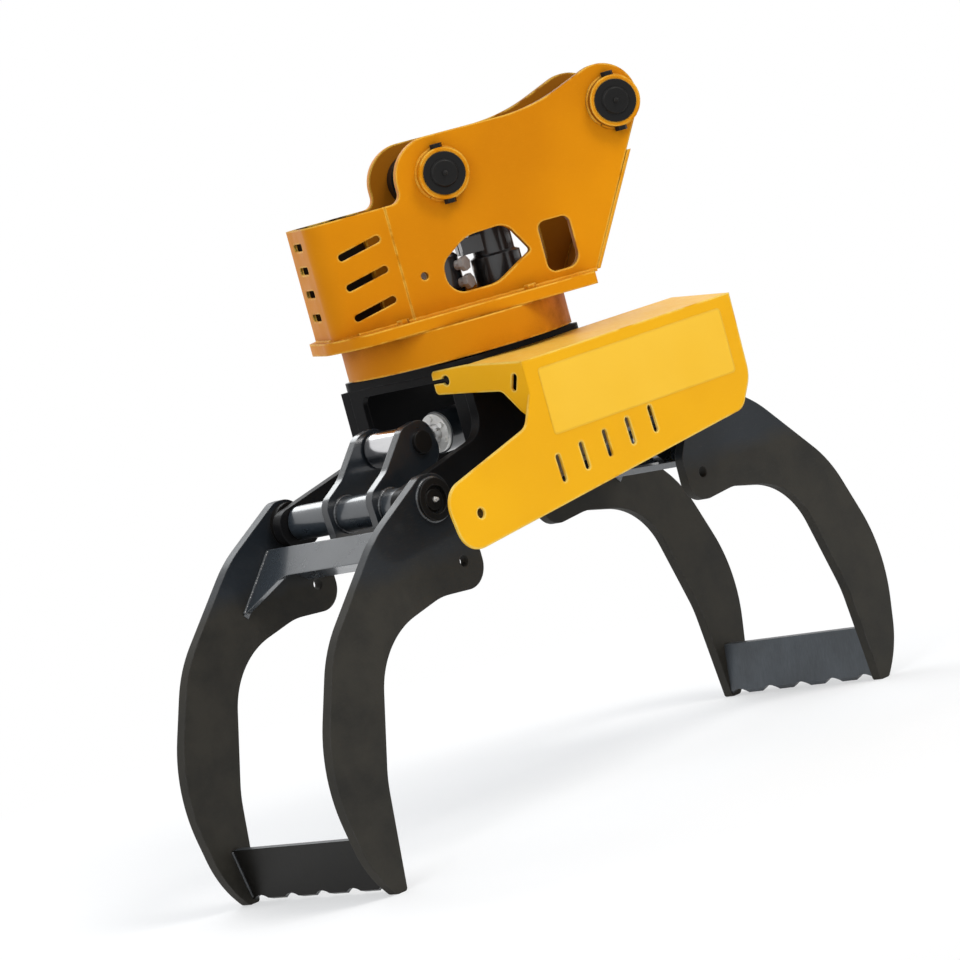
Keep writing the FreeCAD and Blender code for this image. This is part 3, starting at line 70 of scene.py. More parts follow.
def aimCamera(settings):
    heading = math.radians(settings["heading"])
    down = math.radians(settings["down"])
    roll = math.radians(settings["roll"])
    forward = Vector((math.sin(heading) * math.cos(down), math.cos(heading) * math.cos(down),
                      -math.sin(down)))
    level = Vector((math.cos(heading), -math.sin(heading), 0))
    right = level * math.cos(roll) + level.cross(forward) * math.sin(roll)
    up = right.cross(forward)
    camera = bpy.data.objects.new("camera", bpy.data.cameras.new("camera"))
    camera.data.lens = settings["lens"]
    camera.data.sensor_width = settings["sensor"]
    camera.data.sensor_fit = "HORIZONTAL"
    camera.data.clip_start = settings["near"]
    camera.data.clip_end = settings["far"]
    turned = Matrix((right, up, -forward)).transposed().to_4x4()
    camera.matrix_world = Matrix.Translation(Vector(settings["place"])) @ turned
    bpy.context.collection.objects.link(camera)
    bpy.context.scene.camera = camera


aimCamera(viewFrom)
bpy.context.scene.view_settings.view_transform = "Standard"
print("camera placed")


# Small helpers for shader trees
def addNode(tree, kind, at, **settings):
    node = tree.nodes.new(kind)
    node.location = at
    for key, value in settings.items():
        setattr(node, key, value)
    return node


def addMath(tree, operation, at, first, second=None, clamp=False):
    node = addNode(tree, "ShaderNodeMath", at, operation=operation, use_clamp=clamp)
    for index, value in enumerate((first, second)):
        if value is None:
            continue
        if isinstance(value, (int, float)):
            node.inputs[index].default_value = value
        else:
            tree.links.new(value, node.inputs[index])
    return node.outputs[0]


def addMix(tree, at, factor, first, second):
    node = addNode(tree, "ShaderNodeMix", at, data_type="RGBA")
    for socket, value in ((node.inputs["Factor"], factor), (node.inputs["A"], first),
                          (node.inputs["B"], second)):
        if isinstance(value, tuple):
            socket.default_value = (*value, 1)
        elif isinstance(value, (int, float)):
            socket.default_value = value
        else:
            tree.links.new(value, socket)
    return node.outputs["Result"]


def addSteps(tree, at, value, low, high, lowOut=0.0, highOut=1.0):
    node = addNode(tree, "ShaderNodeMapRange", at)
    node.inputs["From Min"].default_value = low
    node.inputs["From Max"].default_value = high
    node.inputs["To Min"].default_value = lowOut
    node.inputs["To Max"].default_value = highOut
    tree.links.new(value, node.inputs["Value"])
    return node.outputs["Result"]


def addNoise(tree, at, vector, scale, detail=3.0, roughness=0.55):
    node = addNode(tree, "ShaderNodeTexNoise", at)
    node.inputs["Detail"].default_value = detail
    node.inputs["Roughness"].default_value = roughness
    tree.links.new(vector, node.inputs["Vector"])
    if isinstance(scale, (int, float)):
        node.inputs["Scale"].default_value = scale
    else:
        tree.links.new(scale, node.inputs["Scale"])
    return node.outputs["Fac"]


def ownPlace(tree, at):
    # Place on the piece itself, so that patterns stay with it when it moves
    return addNode(tree, "ShaderNodeTexCoord", at).outputs["Object"]


def makeGroup(name, inputs, outputs):
    group = bpy.data.node_groups.new(name, "ShaderNodeTree")
    for label, kind, default in inputs:
        socket = group.interface.new_socket(label, in_out="INPUT", socket_type=kind)
        socket.default_value = default
    for label, kind in outputs:
        group.interface.new_socket(label, in_out="OUTPUT", socket_type=kind)
    entry = addNode(group, "NodeGroupInput", (-900, 0))
    leave = addNode(group, "NodeGroupOutput", (900, 0))
    return group, entry.outputs, leave.inputs


edgeBreak = {
    "flat": 0.995, "bent": 0.86,  # cosine of flat against rounded normal: edge colour none, edge colour full
    "patchLow": 0.36, "patchHigh": 0.62,  # noise below and above which an edge keeps its paint or takes the pale edge colour
}


def makeEdgeWear(sizes):
    # Paler edges where a rounded normal leaves the flat one, broken up by noise: bare steel, and on the
    # yellow paints also a painted edge highlight
    group, entry, leave = makeGroup(
        "edgeWear",
        [("Width", "NodeSocketFloat", 0.003), ("Breakup", "NodeSocketFloat", 60.0),
         ("Amount", "NodeSocketFloat", 0.5)],
        [("Mask", "NodeSocketFloat"), ("Rounded", "NodeSocketVector")])
    spread = addNode(group, "ShaderNodeBevel", (-600, 200), samples=4)
    group.links.new(entry["Width"], spread.inputs["Radius"])
    flat = addNode(group, "ShaderNodeNewGeometry", (-600, -50))
    turn = addNode(group, "ShaderNodeVectorMath", (-400, 100), operation="DOT_PRODUCT")
    group.links.new(spread.outputs[0], turn.inputs[0])
    group.links.new(flat.outputs["Normal"], turn.inputs[1])
    edge = addSteps(group, (-200, 100), turn.outputs["Value"], sizes["flat"], sizes["bent"])
    patches = addNoise(group, (-400, -250), ownPlace(group, (-600, -300)), entry["Breakup"], 4.0)
    worn = addSteps(group, (-200, -250), patches, sizes["patchLow"], sizes["patchHigh"])
    both = addMath(group, "MULTIPLY", (0, 0), edge, worn)
    group.links.new(addMath(group, "MULTIPLY", (200, 0), both, entry["Amount"], True), leave["Mask"])
    group.links.new(spread.outputs[0], leave["Rounded"])
    return group


shadeAndDustSpread = {
    "open": 0.75, "closed": 0.25,  # share of open sky: corners unshaded and clean, corners fully darkened by painted shade and dirt
    "patchLow": 0.3, "patchHigh": 0.6,
    "steep": 0.1, "level": 0.9,  # how far up a face looks: dust slides off, dust stays
    "dustScale": 90.0, "dustThin": 0.05, "dustThick": 0.95,
}


def makeShadeAndGrime(sizes):
    # Painted shade and dirt in corners, where little open sky is seen, and dust that settles on what faces
    # up, which on the saw guard stands for a painted sky reflection on top
    group, entry, leave = makeGroup(
        "shadeAndGrime",
        [("Reach", "NodeSocketFloat", 0.03), ("Blotches", "NodeSocketFloat", 14.0),
         ("Dust", "NodeSocketFloat", 0.3)],
        [("Corners", "NodeSocketFloat"), ("UpFacingDustAndSky", "NodeSocketFloat"), ("Patches", "NodeSocketFloat")])
    shade = addNode(group, "ShaderNodeAmbientOcclusion", (-600, 250), samples=4)
    group.links.new(entry["Reach"], shade.inputs["Distance"])
    here = addNode(group, "ShaderNodeNewGeometry", (-800, -50))
    own = ownPlace(group, (-800, 100))
    patches = addNoise(group, (-600, 0), own, entry["Blotches"], 5.0, 0.62)
    corner = addSteps(group, (-400, 250), shade.outputs["AO"], sizes["open"], sizes["closed"])
    broken = addSteps(group, (-400, 0), patches, sizes["patchLow"], sizes["patchHigh"])
    group.links.new(addMath(group, "MULTIPLY", (-100, 200), corner, broken, True), leave["Corners"])
    split = addNode(group, "ShaderNodeSeparateXYZ", (-600, -250))
    group.links.new(here.outputs["Normal"], split.inputs[0])
    top = addSteps(group, (-400, -250), split.outputs["Z"], sizes["steep"], sizes["level"])
    fine = addNoise(group, (-600, -450), own, sizes["dustScale"], 6.0, 0.7)
    film = addSteps(group, (-400, -450), fine, sizes["dustThin"], sizes["dustThick"])
    settled = addMath(group, "MULTIPLY", (-200, -300), top, film)
    group.links.new(addMath(group, "MULTIPLY", (0, -300), settled, entry["Dust"], True), leave["UpFacingDustAndSky"])
    group.links.new(broken, leave["Patches"])
    return group


lineCut = {"low": 0.56, "high": 0.7}  # noise at which a rubbed line starts and is full


def makeScratches(sizes):
    # Fine rubbed lines along one direction, for plate steel and worn paint
    group, entry, leave = makeGroup(
        "scratches",
        [("Stretch", "NodeSocketVector", (6.0, 6.0, 90.0)), ("Scale", "NodeSocketFloat", 8.0)],
        [("Lines", "NodeSocketFloat"), ("Height", "NodeSocketFloat")])
    pull = addNode(group, "ShaderNodeVectorMath", (-600, 0), operation="MULTIPLY")
    group.links.new(ownPlace(group, (-800, 0)), pull.inputs[0])
    group.links.new(entry["Stretch"], pull.inputs[1])
    lines = addNoise(group, (-400, 0), pull.outputs[0], entry["Scale"], 4.0, 0.7)
    group.links.new(addSteps(group, (-200, 100), lines, sizes["low"], sizes["high"]), leave["Lines"])
    group.links.new(lines, leave["Height"])
    return group


def makeSkin():
    # Sprayed paint or cast skin: a fine uneven surface with broad waves under it
    group, entry, leave = makeGroup(
        "sprayedSkin",
        [("Grain", "NodeSocketFloat", 500.0), ("Waves", "NodeSocketFloat", 18.0),
         ("Waviness", "NodeSocketFloat", 0.6)],
        [("Height", "NodeSocketFloat")])
    own = ownPlace(group, (-800, 0))
    grain = addNoise(group, (-500, 150), own, entry["Grain"], 2.0)
    waves = addNoise(group, (-500, -150), own, entry["Waves"], 2.0)
    broad = addMath(group, "MULTIPLY", (-200, -150), waves, entry["Waviness"])
    group.links.new(addMath(group, "ADD", (100, 0), grain, broad), leave["Height"])
    return group


innerTurn = {"start": -0.012, "full": -0.03}  # metres from the middle times how far a face looks inward


def makeInnerFaces(sizes):
    # Faces of a hollow piece that look towards its middle, level with the ground, where painted shade is laid
    group, entry, leave = makeGroup("innerFaces", [("Middle", "NodeSocketVector", (0, 0, 0))],
                                    [("Mask", "NodeSocketFloat")])
    outward = addNode(group, "ShaderNodeVectorMath", (-600, 100), operation="SUBTRACT")
    group.links.new(ownPlace(group, (-800, 100)), outward.inputs[0])
    group.links.new(entry["Middle"], outward.inputs[1])
    level = addNode(group, "ShaderNodeVectorMath", (-400, 100), operation="MULTIPLY")
    group.links.new(outward.outputs[0], level.inputs[0])
    level.inputs[1].default_value = (1, 1, 0)
    facing = addNode(group, "ShaderNodeTexCoord", (-600, -100)).outputs["Normal"]
    along = addNode(group, "ShaderNodeVectorMath", (-200, 0), operation="DOT_PRODUCT")
    group.links.new(level.outputs[0], along.inputs[0])
    group.links.new(facing, along.inputs[1])
    inner = addSteps(group, (0, 0), along.outputs["Value"], sizes["start"], sizes["full"])
    group.links.new(inner, leave["Mask"])
    return group


edgeWear = makeEdgeWear(edgeBreak)
innerFaces = makeInnerFaces(innerTurn)
shadeAndGrime = makeShadeAndGrime(shadeAndDustSpread)
scratches = makeScratches(lineCut)
sprayedSkin = makeSkin()
print("shader groups made")


def placeGroup(tree, group, at, **values):
    node = addNode(tree, "ShaderNodeGroup", at)
    node.node_tree = group
    for label, value in values.items():
        node.inputs[label].default_value = value
    return node.outputs


def newMaterial(name):
    material = bpy.data.materials.new(name)
    material.use_nodes = True
    tree = material.node_tree
    return material, tree, tree.nodes["Principled BSDF"]


def addRelief(tree, shader, height, strength, distance, normal):
    bump = addNode(tree, "ShaderNodeBump", (-150, -400))
    bump.inputs["Strength"].default_value = strength
    bump.inputs["Distance"].default_value = distance
    tree.links.new(height, bump.inputs["Height"])
    tree.links.new(normal, bump.inputs["Normal"])
    tree.links.new(bump.outputs[0], shader.inputs["Normal"])


# What all paints share; a look adds its own colours and amounts
paintCoat = {
    "driftScale": 3.2, "driftLow": 0.35, "driftHigh": 0.65,  # slow change from colour to shade
    "waves": 16.0, "waviness": 0.6,
    "lineStretch": (9.0, 9.0, 60.0), "lineScale": 9.0,
    "raggedScale": 14.0, "raggedRise": 0.05, "dustyFade": 0.035,  # upper edge of a dusty foot
    "patchDulls": 0.14, "dirtDulls": 0.25, "dustDulls": 0.2,  # added to the roughness
    "relief": 0.35, "reliefDepth": 0.0004,
}


def makePaint(name, look):
    # Paint over steel: own colour drifts a little, edges paler (worn, and with painted highlight on the
    # yellow paints), corners darkened by painted shade and dirt, dust on top (a painted sky reflection on the
    # saw guard)
    coat = paintCoat
    material, tree, shader = newMaterial(name)
    own = ownPlace(tree, (-1400, 0))
    wear = placeGroup(tree, edgeWear, (-1200, 300), Width=look["edgeWidth"], Breakup=look["breakup"],
                      Amount=look["wear"])
    dirtAndShade = placeGroup(tree, shadeAndGrime, (-1200, 0), Reach=look["reach"], Blotches=look["blotches"],
                      Dust=look["dust"])
    skin = placeGroup(tree, sprayedSkin, (-1200, -300), Grain=look["grain"], Waves=coat["waves"],
                      Waviness=coat["waviness"])
    lines = placeGroup(tree, scratches, (-1200, -550), Stretch=coat["lineStretch"],
                       Scale=coat["lineScale"])
    drift = addNoise(tree, (-1200, 550), own, coat["driftScale"], 2.0)
    shift = addSteps(tree, (-1000, 550), drift, coat["driftLow"], coat["driftHigh"])
    colour = addMix(tree, (-800, 500), shift, look["colour"], look["shade"])
    matt = None
    if "dustyBelow" in look:
        # The foot of the piece is dusty and matt up to a ragged line
        split = addNode(tree, "ShaderNodeSeparateXYZ", (-1200, 800))
        tree.links.new(own, split.inputs[0])
        uneven = addNoise(tree, (-1200, 700), own, coat["raggedScale"], 5.0)
        ragged = addMath(tree, "MULTIPLY", (-1000, 700), uneven, coat["raggedRise"])
        height = addMath(tree, "ADD", (-900, 800), split.outputs["Z"], ragged)
        matt = addSteps(tree, (-750, 800), height, look["dustyBelow"],
                        look["dustyBelow"] - coat["dustyFade"])
        dust = addMix(tree, (-800, 750), dirtAndShade["Patches"], look["dusty"], look["dustyPatch"])
        colour = addMix(tree, (-700, 650), matt, colour, dust)
    rubbed = addMath(tree, "MULTIPLY", (-900, -500), lines["Lines"], look["rub"])
    colour = addMix(tree, (-600, 450), rubbed, colour, look["rubbed"])
    if "insideOf" in look:
        # Painted shade: faces that look towards the middle of the hollow are darker than the outer ones
        inside = placeGroup(tree, innerFaces, (-1200, -800), Middle=look["insideOf"])
        colour = addMix(tree, (-520, 550), inside["Mask"], colour, look["inside"])
    # Painted shade and dirt in the corners, from the ambient occlusion mask
    darkCorners = addMath(tree, "MULTIPLY", (-900, 50), dirtAndShade["Corners"], look["dirtAndShade"])
    colour = addMix(tree, (-450, 350), darkCorners, colour, look["soilAndShade"])
    # Dust on faces that look up; on the saw guard this is a painted sky reflection on the top
    colour = addMix(tree, (-300, 250), dirtAndShade["UpFacingDustAndSky"], colour, look["dustAndSkyColour"])
    # Paler edges: wear, and on the yellow paints a painted highlight
    colour = addMix(tree, (-150, 150), wear["Mask"], colour, look["wornAndLitEdge"])
    tree.links.new(colour, shader.inputs["Base Color"])
    gloss = addSteps(tree, (-600, -100), dirtAndShade["Patches"], 0, 1, look["roughness"],
                     look["roughness"] + coat["patchDulls"])
    dirty = addMath(tree, "MULTIPLY", (-500, -250), darkCorners, coat["dirtDulls"])
    dull = addMath(tree, "ADD", (-400, -100), gloss, dirty, True)
    if matt is not None:
        duller = addMath(tree, "MULTIPLY", (-400, -300), matt, coat["dustDulls"])
        dull = addMath(tree, "ADD", (-300, -150), dull, duller, True)
        clear = addSteps(tree, (-300, -300), matt, 0, 1, look["coat"], 0)
        tree.links.new(clear, shader.inputs["Coat Weight"])
    tree.links.new(dull, shader.inputs["Roughness"])
    shader.inputs["Coat Weight"].default_value = look["coat"]
    shader.inputs["Coat Roughness"].default_value = look["coatRoughness"]
    shader.inputs["Specular IOR Level"].default_value = look["shine"]
    addRelief(tree, shader, skin["Height"], coat["relief"], coat["reliefDepth"], wear["Rounded"])
    return material


# What all steels share
steelFace = {
    "edgeWidth": 0.002, "breakup": 80.0, "wear": 0.7, "reach": 0.02, "lineScale": 8.0,
    "inward": -0.2, "outward": 0.3,  # which way a face looks: rubbed bright, still painted
    "lineLow": 0.2, "lineHigh": 0.8, "lineShines": 0.08, "lineDulls": 0.12,
    "reliefDepth": 0.0003,
}


def makeSteel(name, look):
    # Bare or plated steel with rubbed lines, brown stains, and brown painted shade with dirt in the corners
    face = steelFace
    material, tree, shader = newMaterial(name)
    wear = placeGroup(tree, edgeWear, (-1200, 300), Width=face["edgeWidth"], Breakup=face["breakup"],
                      Amount=face["wear"])
    dirtAndShade = placeGroup(tree, shadeAndGrime, (-1200, 0), Reach=face["reach"], Blotches=look["blotches"],
                      Dust=look["dust"])
    lines = placeGroup(tree, scratches, (-1200, -300), Stretch=look["stretch"], Scale=face["lineScale"])
    colour = addMix(tree, (-800, 300), lines["Height"], look["colour"], look["shade"])
    patches = addMath(tree, "MULTIPLY", (-800, 50), dirtAndShade["Patches"], look["stain"])
    colour = addMix(tree, (-600, 250), patches, colour, look["soilAndShade"])
    # Painted shade and dirt in the corners
    corners = addMath(tree, "MULTIPLY", (-600, 100), dirtAndShade["Corners"], look["cornerStainAndShade"])
    colour = addMix(tree, (-450, 200), corners, colour, look["soilAndShade"])
    colour = addMix(tree, (-300, 150), wear["Mask"], colour, look["bright"])
    if "rubbedInside" in look:
        # The faces towards the logs are polished, the outer ones keep their dull paint
        place = addNode(tree, "ShaderNodeSeparateXYZ", (-700, 600))
        tree.links.new(ownPlace(tree, (-900, 600)), place.inputs[0])
        facing = addNode(tree, "ShaderNodeSeparateXYZ", (-700, 450))
        normal = addNode(tree, "ShaderNodeTexCoord", (-900, 450)).outputs["Normal"]
        tree.links.new(normal, facing.inputs[0])
        side = addMath(tree, "SIGN", (-500, 600), place.outputs["X"])
        inward = addMath(tree, "MULTIPLY", (-300, 550), side, facing.outputs["X"])
        outer = addSteps(tree, (-150, 450), inward, face["inward"], face["outward"])
        colour = addMix(tree, (0, 350), outer, colour, look["rubbedInside"])
    tree.links.new(colour, shader.inputs["Base Color"])
    shader.inputs["Metallic"].default_value = look["metallic"]
    shader.inputs["Specular IOR Level"].default_value = look["shine"]
    rough = addSteps(tree, (-600, -150), lines["Height"], face["lineLow"], face["lineHigh"],
                     look["roughness"] - face["lineShines"], look["roughness"] + face["lineDulls"])
    tree.links.new(rough, shader.inputs["Roughness"])
    addRelief(tree, shader, lines["Height"], look["relief"], face["reliefDepth"], wear["Rounded"])
    return material


# Hitch paint: the wide corner reach paints the shade under the base plate, the inside colour is painted shade
# on inner faces, and the pale edge colour is wear with painted highlight
hitchPaintLook = {
    "colour": (0.70, 0.255, 0.0015), "shade": (0.58, 0.195, 0.001), "rubbed": (0.80, 0.37, 0.015),
    "soilAndShade": (0.15, 0.052, 0.004), "dustAndSkyColour": (0.76, 0.48, 0.14), "wornAndLitEdge": (0.96, 0.60, 0.09),
    "edgeWidth": 0.0058, "breakup": 30.0, "wear": 1.7, "reach": 0.06, "blotches": 16.0, "dust": 0.12,
    "dirtAndShade": 0.75, "rub": 0.12, "grain": 420.0, "roughness": 0.36, "coat": 0.02, "coatRoughness": 0.2,
    "shine": 0.06, "insideOf": (0.06, -0.035, -0.1), "inside": (0.30, 0.10, 0.004),
}
# The ring is a darker copy of the hitch paint with deeper, wider painted shade, standing for the shadow under
# the base plate
ringShadedLook = dict(hitchPaintLook, colour=(0.62, 0.215, 0.0015), soilAndShade=(0.085, 0.022, 0.002), reach=0.11,
                     dirtAndShade=1.0, insideOf=(-0.024, 0.0, -0.28))
# Inner faces of the nose cover nearly black: painted shade
nosePaintLook = dict(hitchPaintLook, insideOf=(-0.10, 0.06, -0.1), inside=(0.010, 0.006, 0.003))
# Saw guard: its pale dust colour on up-facing faces is a painted sky reflection on the top, and its pale edge
# colour is wear with painted highlight
guardPaintLook = {
    "colour": (0.86, 0.43, 0.0015), "shade": (0.80, 0.38, 0.001), "rubbed": (0.93, 0.58, 0.05),
    "soilAndShade": (0.30, 0.14, 0.01), "dustAndSkyColour": (0.95, 0.76, 0.26), "wornAndLitEdge": (1.0, 0.80, 0.20),
    "edgeWidth": 0.006, "breakup": 14.0, "wear": 2.4, "reach": 0.02, "blotches": 18.0, "dust": 0.6,
    "dirtAndShade": 0.4, "rub": 0.1, "grain": 420.0, "roughness": 0.34, "coat": 0.05, "coatRoughness": 0.2,
    "shine": 0.12,
}
guardPanelLook = dict(guardPaintLook, colour=(0.90, 0.53, 0.04), shade=(0.87, 0.49, 0.025), wear=0.5)
glossBlackLook = {
    "colour": (0.007, 0.0095, 0.0125), "shade": (0.011, 0.0145, 0.019), "rubbed": (0.03, 0.037, 0.046),
    "soilAndShade": (0.020, 0.017, 0.013), "dustAndSkyColour": (0.075, 0.07, 0.06), "wornAndLitEdge": (0.11, 0.12, 0.13),
    "edgeWidth": 0.003, "breakup": 30.0, "wear": 0.75, "reach": 0.04, "blotches": 11.0, "dust": 0.08,
    "dirtAndShade": 0.4, "rub": 0.12, "grain": 260.0, "roughness": 0.24, "coat": 0.75, "coatRoughness": 0.12,
    "shine": 0.5,
}
# Lighter and bluer than the gloss black: painted sky reflection on the hub tubes and cross plates
hubSkyReflectionLook = dict(glossBlackLook, colour=(0.018, 0.024, 0.031), shade=(0.026, 0.034, 0.043), shine=0.8,
                    coat=1.0, roughness=0.2)
clawPaintLook = dict(glossBlackLook, shine=0.2, coat=0.16, roughness=0.34, dust=0.14, rub=0.35, wear=0.6,
                     rubbed=(0.034, 0.032, 0.028), wornAndLitEdge=(0.085, 0.083, 0.08),
                     dustyBelow=-0.585, dusty=(0.016, 0.0148, 0.012), dustyPatch=(0.031, 0.028, 0.022))
# Darker and duller than the gloss black: painted shade on the frame under the hitch
frameShadedLook = dict(glossBlackLook, colour=(0.0035, 0.0036, 0.004), shade=(0.006, 0.006, 0.0065),
                      shine=0.08, coat=0.04, roughness=0.34, rub=0.06, wornAndLitEdge=(0.05, 0.052, 0.055), wear=0.5)
steelLook = {
    "colour": (0.20, 0.18, 0.16), "shade": (0.11, 0.10, 0.09), "soilAndShade": (0.05, 0.035, 0.025),
    "bright": (0.5, 0.47, 0.43), "blotches": 30.0, "dust": 0.1, "stretch": (20.0, 20.0, 20.0),
    "stain": 0.35, "cornerStainAndShade": 0.7, "metallic": 0.85, "roughness": 0.42, "relief": 0.3, "shine": 0.5,
}
boltLook = dict(steelLook, colour=(0.66, 0.65, 0.62), shade=(0.48, 0.47, 0.45), soilAndShade=(0.16, 0.14, 0.12),
                bright=(0.85, 0.84, 0.81), stain=0.1, cornerStainAndShade=0.15, metallic=0.55, roughness=0.3)
# Near white and hardly metallic: zinc plate with a painted glint, so the fittings show as bright spots in the
# shade
fittingGlintLook = dict(boltLook, colour=(0.86, 0.85, 0.82), shade=(0.72, 0.71, 0.68),
                   soilAndShade=(0.45, 0.43, 0.38), cornerStainAndShade=0.05, metallic=0.2)
bladeLook = dict(steelLook, colour=(0.125, 0.140, 0.155), shade=(0.062, 0.070, 0.080),
                 soilAndShade=(0.032, 0.03, 0.027), bright=(0.20, 0.22, 0.24), stretch=(6.0, 70.0, 6.0),
                 metallic=0.25, roughness=0.36, stain=0.3, blotches=12.0, shine=0.25,
                 rubbedInside=(0.009, 0.0082, 0.007))
chromeLook = dict(steelLook, colour=(0.72, 0.72, 0.73), shade=(0.62, 0.62, 0.64), soilAndShade=(0.3, 0.28, 0.25),
                  bright=(0.9, 0.9, 0.9), stretch=(90.0, 4.0, 4.0), metallic=1.0, roughness=0.16,
                  stain=0.06, relief=0.06)
pinLook = dict(steelLook, colour=(0.008, 0.0078, 0.0078), shade=(0.005, 0.005, 0.005),
               soilAndShade=(0.011, 0.009, 0.007), bright=(0.07, 0.066, 0.06), metallic=0.1, roughness=0.38,
               stain=0.2, shine=0.18)
chainLook = dict(steelLook, colour=(0.30, 0.29, 0.28), shade=(0.16, 0.155, 0.15), roughness=0.32)

finishes = {
    "hitchPaint": makePaint("hitchPaint", hitchPaintLook),
    "nosePaint": makePaint("nosePaint", nosePaintLook),
    "ringShadedPaint": makePaint("ringShadedPaint", ringShadedLook),
    "guardPaint": makePaint("guardPaint", guardPaintLook),
    "guardPanel": makePaint("guardPanel", guardPanelLook),
    "clawPaint": makePaint("clawPaint", clawPaintLook),
    "glossBlack": makePaint("glossBlack", glossBlackLook),
    "hubBlackSkyReflection": makePaint("hubBlackSkyReflection", hubSkyReflectionLook),
    "frameBlackShaded": makePaint("frameBlackShaded", frameShadedLook),
    "wornSteel": makeSteel("wornSteel", steelLook),
    "zincBolt": makeSteel("zincBolt", boltLook),
    "fittingGlint": makeSteel("fittingGlint", fittingGlintLook),
    "bladeSteel": makeSteel("bladeSteel", bladeLook),
    "rodChrome": makeSteel("rodChrome", chromeLook),
    "pinBlack": makeSteel("pinBlack", pinLook),
    "chainSteel": makeSteel("chainSteel", chainLook),
}
print("finishes made:", len(finishes))

finishOf = {
    "hitchPaint": ("hitch_side_front", "hitch_side_rear", "hitch_base_plate", "hitch_tail_cover",
                   "pin_collars", "slew_flange_bolts"),
    "nosePaint": ("hitch_nose_cover",),
    "ringShadedPaint": ("slew_ring_outer",),
    "guardPaint": ("saw_guard",),
    "hubBlackSkyReflection": ("claw_left_hub_tube", "claw_right_hub_tube", "claw_left_cross_plate",
                 "claw_right_cross_plate"),
    "glossBlack": ("claw_left_cranks", "claw_right_cranks", "claw_cylinder_barrel", "slew_motor",
                   "rotary_joint_housing"),
    "frameBlackShaded": ("frame_side_front", "frame_side_rear", "frame_top_plate", "frame_end_plates",
                   "arm_pin_bosses", "link_pin_bosses", "saw_holder", "saw_mounting_plate"),
    "pinBlack": ("arm_pin", "link_pin", "arm_pin_bushes", "link_pin_bushes", "claw_left_pivot_pin",
                 "claw_right_pivot_pin", "claw_left_collars", "claw_right_collars",
                 "claw_left_cylinder_pin", "claw_right_cylinder_pin", "pin_retaining_bolts"),
    "bladeSteel": ("claw_left_blade", "claw_right_blade"),
    "rodChrome": ("claw_cylinder_rod",),
    "zincBolt": ("slew_gear_bolts", "bar_clamp_bolts"),
    "fittingGlint": ("rotary_joint_fittings", "claw_cylinder_gland"),
    "wornSteel": ("slew_pinion", "slew_gear_ring", "frame_pivot_bushes", "rotary_joint_core",
                  "saw_sprocket", "saw_feed_rack", "claw_cylinder_piston"),
    "chainSteel": ("guide_bar", "saw_chain"),
}
otherFinish = "clawPaint"  # the tines, and whatever has no finish above


def dressNodes():
    chosen = {name: finish for finish, names in finishOf.items() for name in names}
    for name, item in cadNodes.items():
        material = finishes[chosen.get(name, otherFinish)]
        if item.material_slots:
            for slot in item.material_slots:
                slot.material = material
        else:
            item.data.materials.append(material)


dressNodes()
print("frame dressed")


def hitchPoint(u, v, z):
    # From the hitch's own frame, in metres from the arm pin, to the row frame
    return Matrix.Rotation(hitchTurn, 3, "Z") @ Vector((u, v, z))


def grapplePoint(x, y, z):
    # From the slew axis at the underside of the slew ring to the row frame
    return slewAxis + Vector((x, y, z))


def addPiece(name, sheet, finish, body):
    mesh = bpy.data.meshes.new(name)
    bmesh.ops.recalc_face_normals(sheet, faces=sheet.faces)
    sheet.to_mesh(mesh)
    sheet.free()
    mesh.materials.append(finishes[finish])
    piece = bpy.data.objects.new(name, mesh)
    bpy.context.collection.objects.link(piece)
    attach(piece, body)


# Weld beads: rippled rounds laid into the corners where plates meet
weldBead = {
    "radius": 0.0036,
    "step": 0.0016,  # distance between two rings of the bead
    "ripple": 0.0058,  # length of one ripple
    "swell": 0.16,  # how far a ripple stands out, as a share of the radius
    "facets": 7,
    "wander": 0.00035, "wanderPitch": 210.0,  # slow unevenness along the bead
}


def linePath(start, end):
    count = max(2, int((end - start).length / weldBead["step"]))
    return [start.lerp(end, index / count) for index in range(count + 1)]


def ringPath(centre, axis, radius):
    across = axis.orthogonal().normalized() * radius
    upward = axis.normalized().cross(across)
    count = int(2 * math.pi * radius / weldBead["step"])
    angles = [2 * math.pi * index / count for index in range(count)]
    return [centre + across * math.cos(angle) + upward * math.sin(angle) for angle in angles]


def layBead(sheet, path, closed):
    count = len(path)
    rings = []
    travelled = 0.0
    for index, point in enumerate(path):
        before = path[index - 1] if index or closed else point
        after = path[(index + 1) % count] if index < count - 1 or closed else point
        heading = (after - before).normalized()
        across = heading.orthogonal().normalized()
        upward = heading.cross(across)
        phase = (travelled / weldBead["ripple"]) % 1.0
        radius = weldBead["radius"] * (1 + weldBead["swell"] * (phase - 0.5))
        reach = radius + weldBead["wander"] * math.sin(travelled * weldBead["wanderPitch"])
        ring = []
        for facet in range(weldBead["facets"]):
            angle = 2 * math.pi * facet / weldBead["facets"]
            ring.append(sheet.verts.new(
                point + across * (reach * math.cos(angle)) + upward * (reach * math.sin(angle))))
        rings.append(ring)
        travelled += (after - point).length
    pairs = list(zip(rings, rings[1:]))
    if closed:
        pairs.append((rings[-1], rings[0]))
    for first, second in pairs:
        for facet in range(weldBead["facets"]):
            following = (facet + 1) % weldBead["facets"]
            sheet.faces.new((first[facet], first[following], second[following], second[facet]))
    if not closed:
        sheet.faces.new(rings[0])
        sheet.faces.new(rings[-1])


def addWelds(name, body, lines, rings, finish):
    sheet = bmesh.new()
    for start, end in lines:
        layBead(sheet, linePath(start, end), False)
    for centre, axis, radius in rings:
        layBead(sheet, ringPath(centre, axis, radius), True)
    for face in sheet.faces:
        face.smooth = True
    addPiece(name, sheet, finish, body)


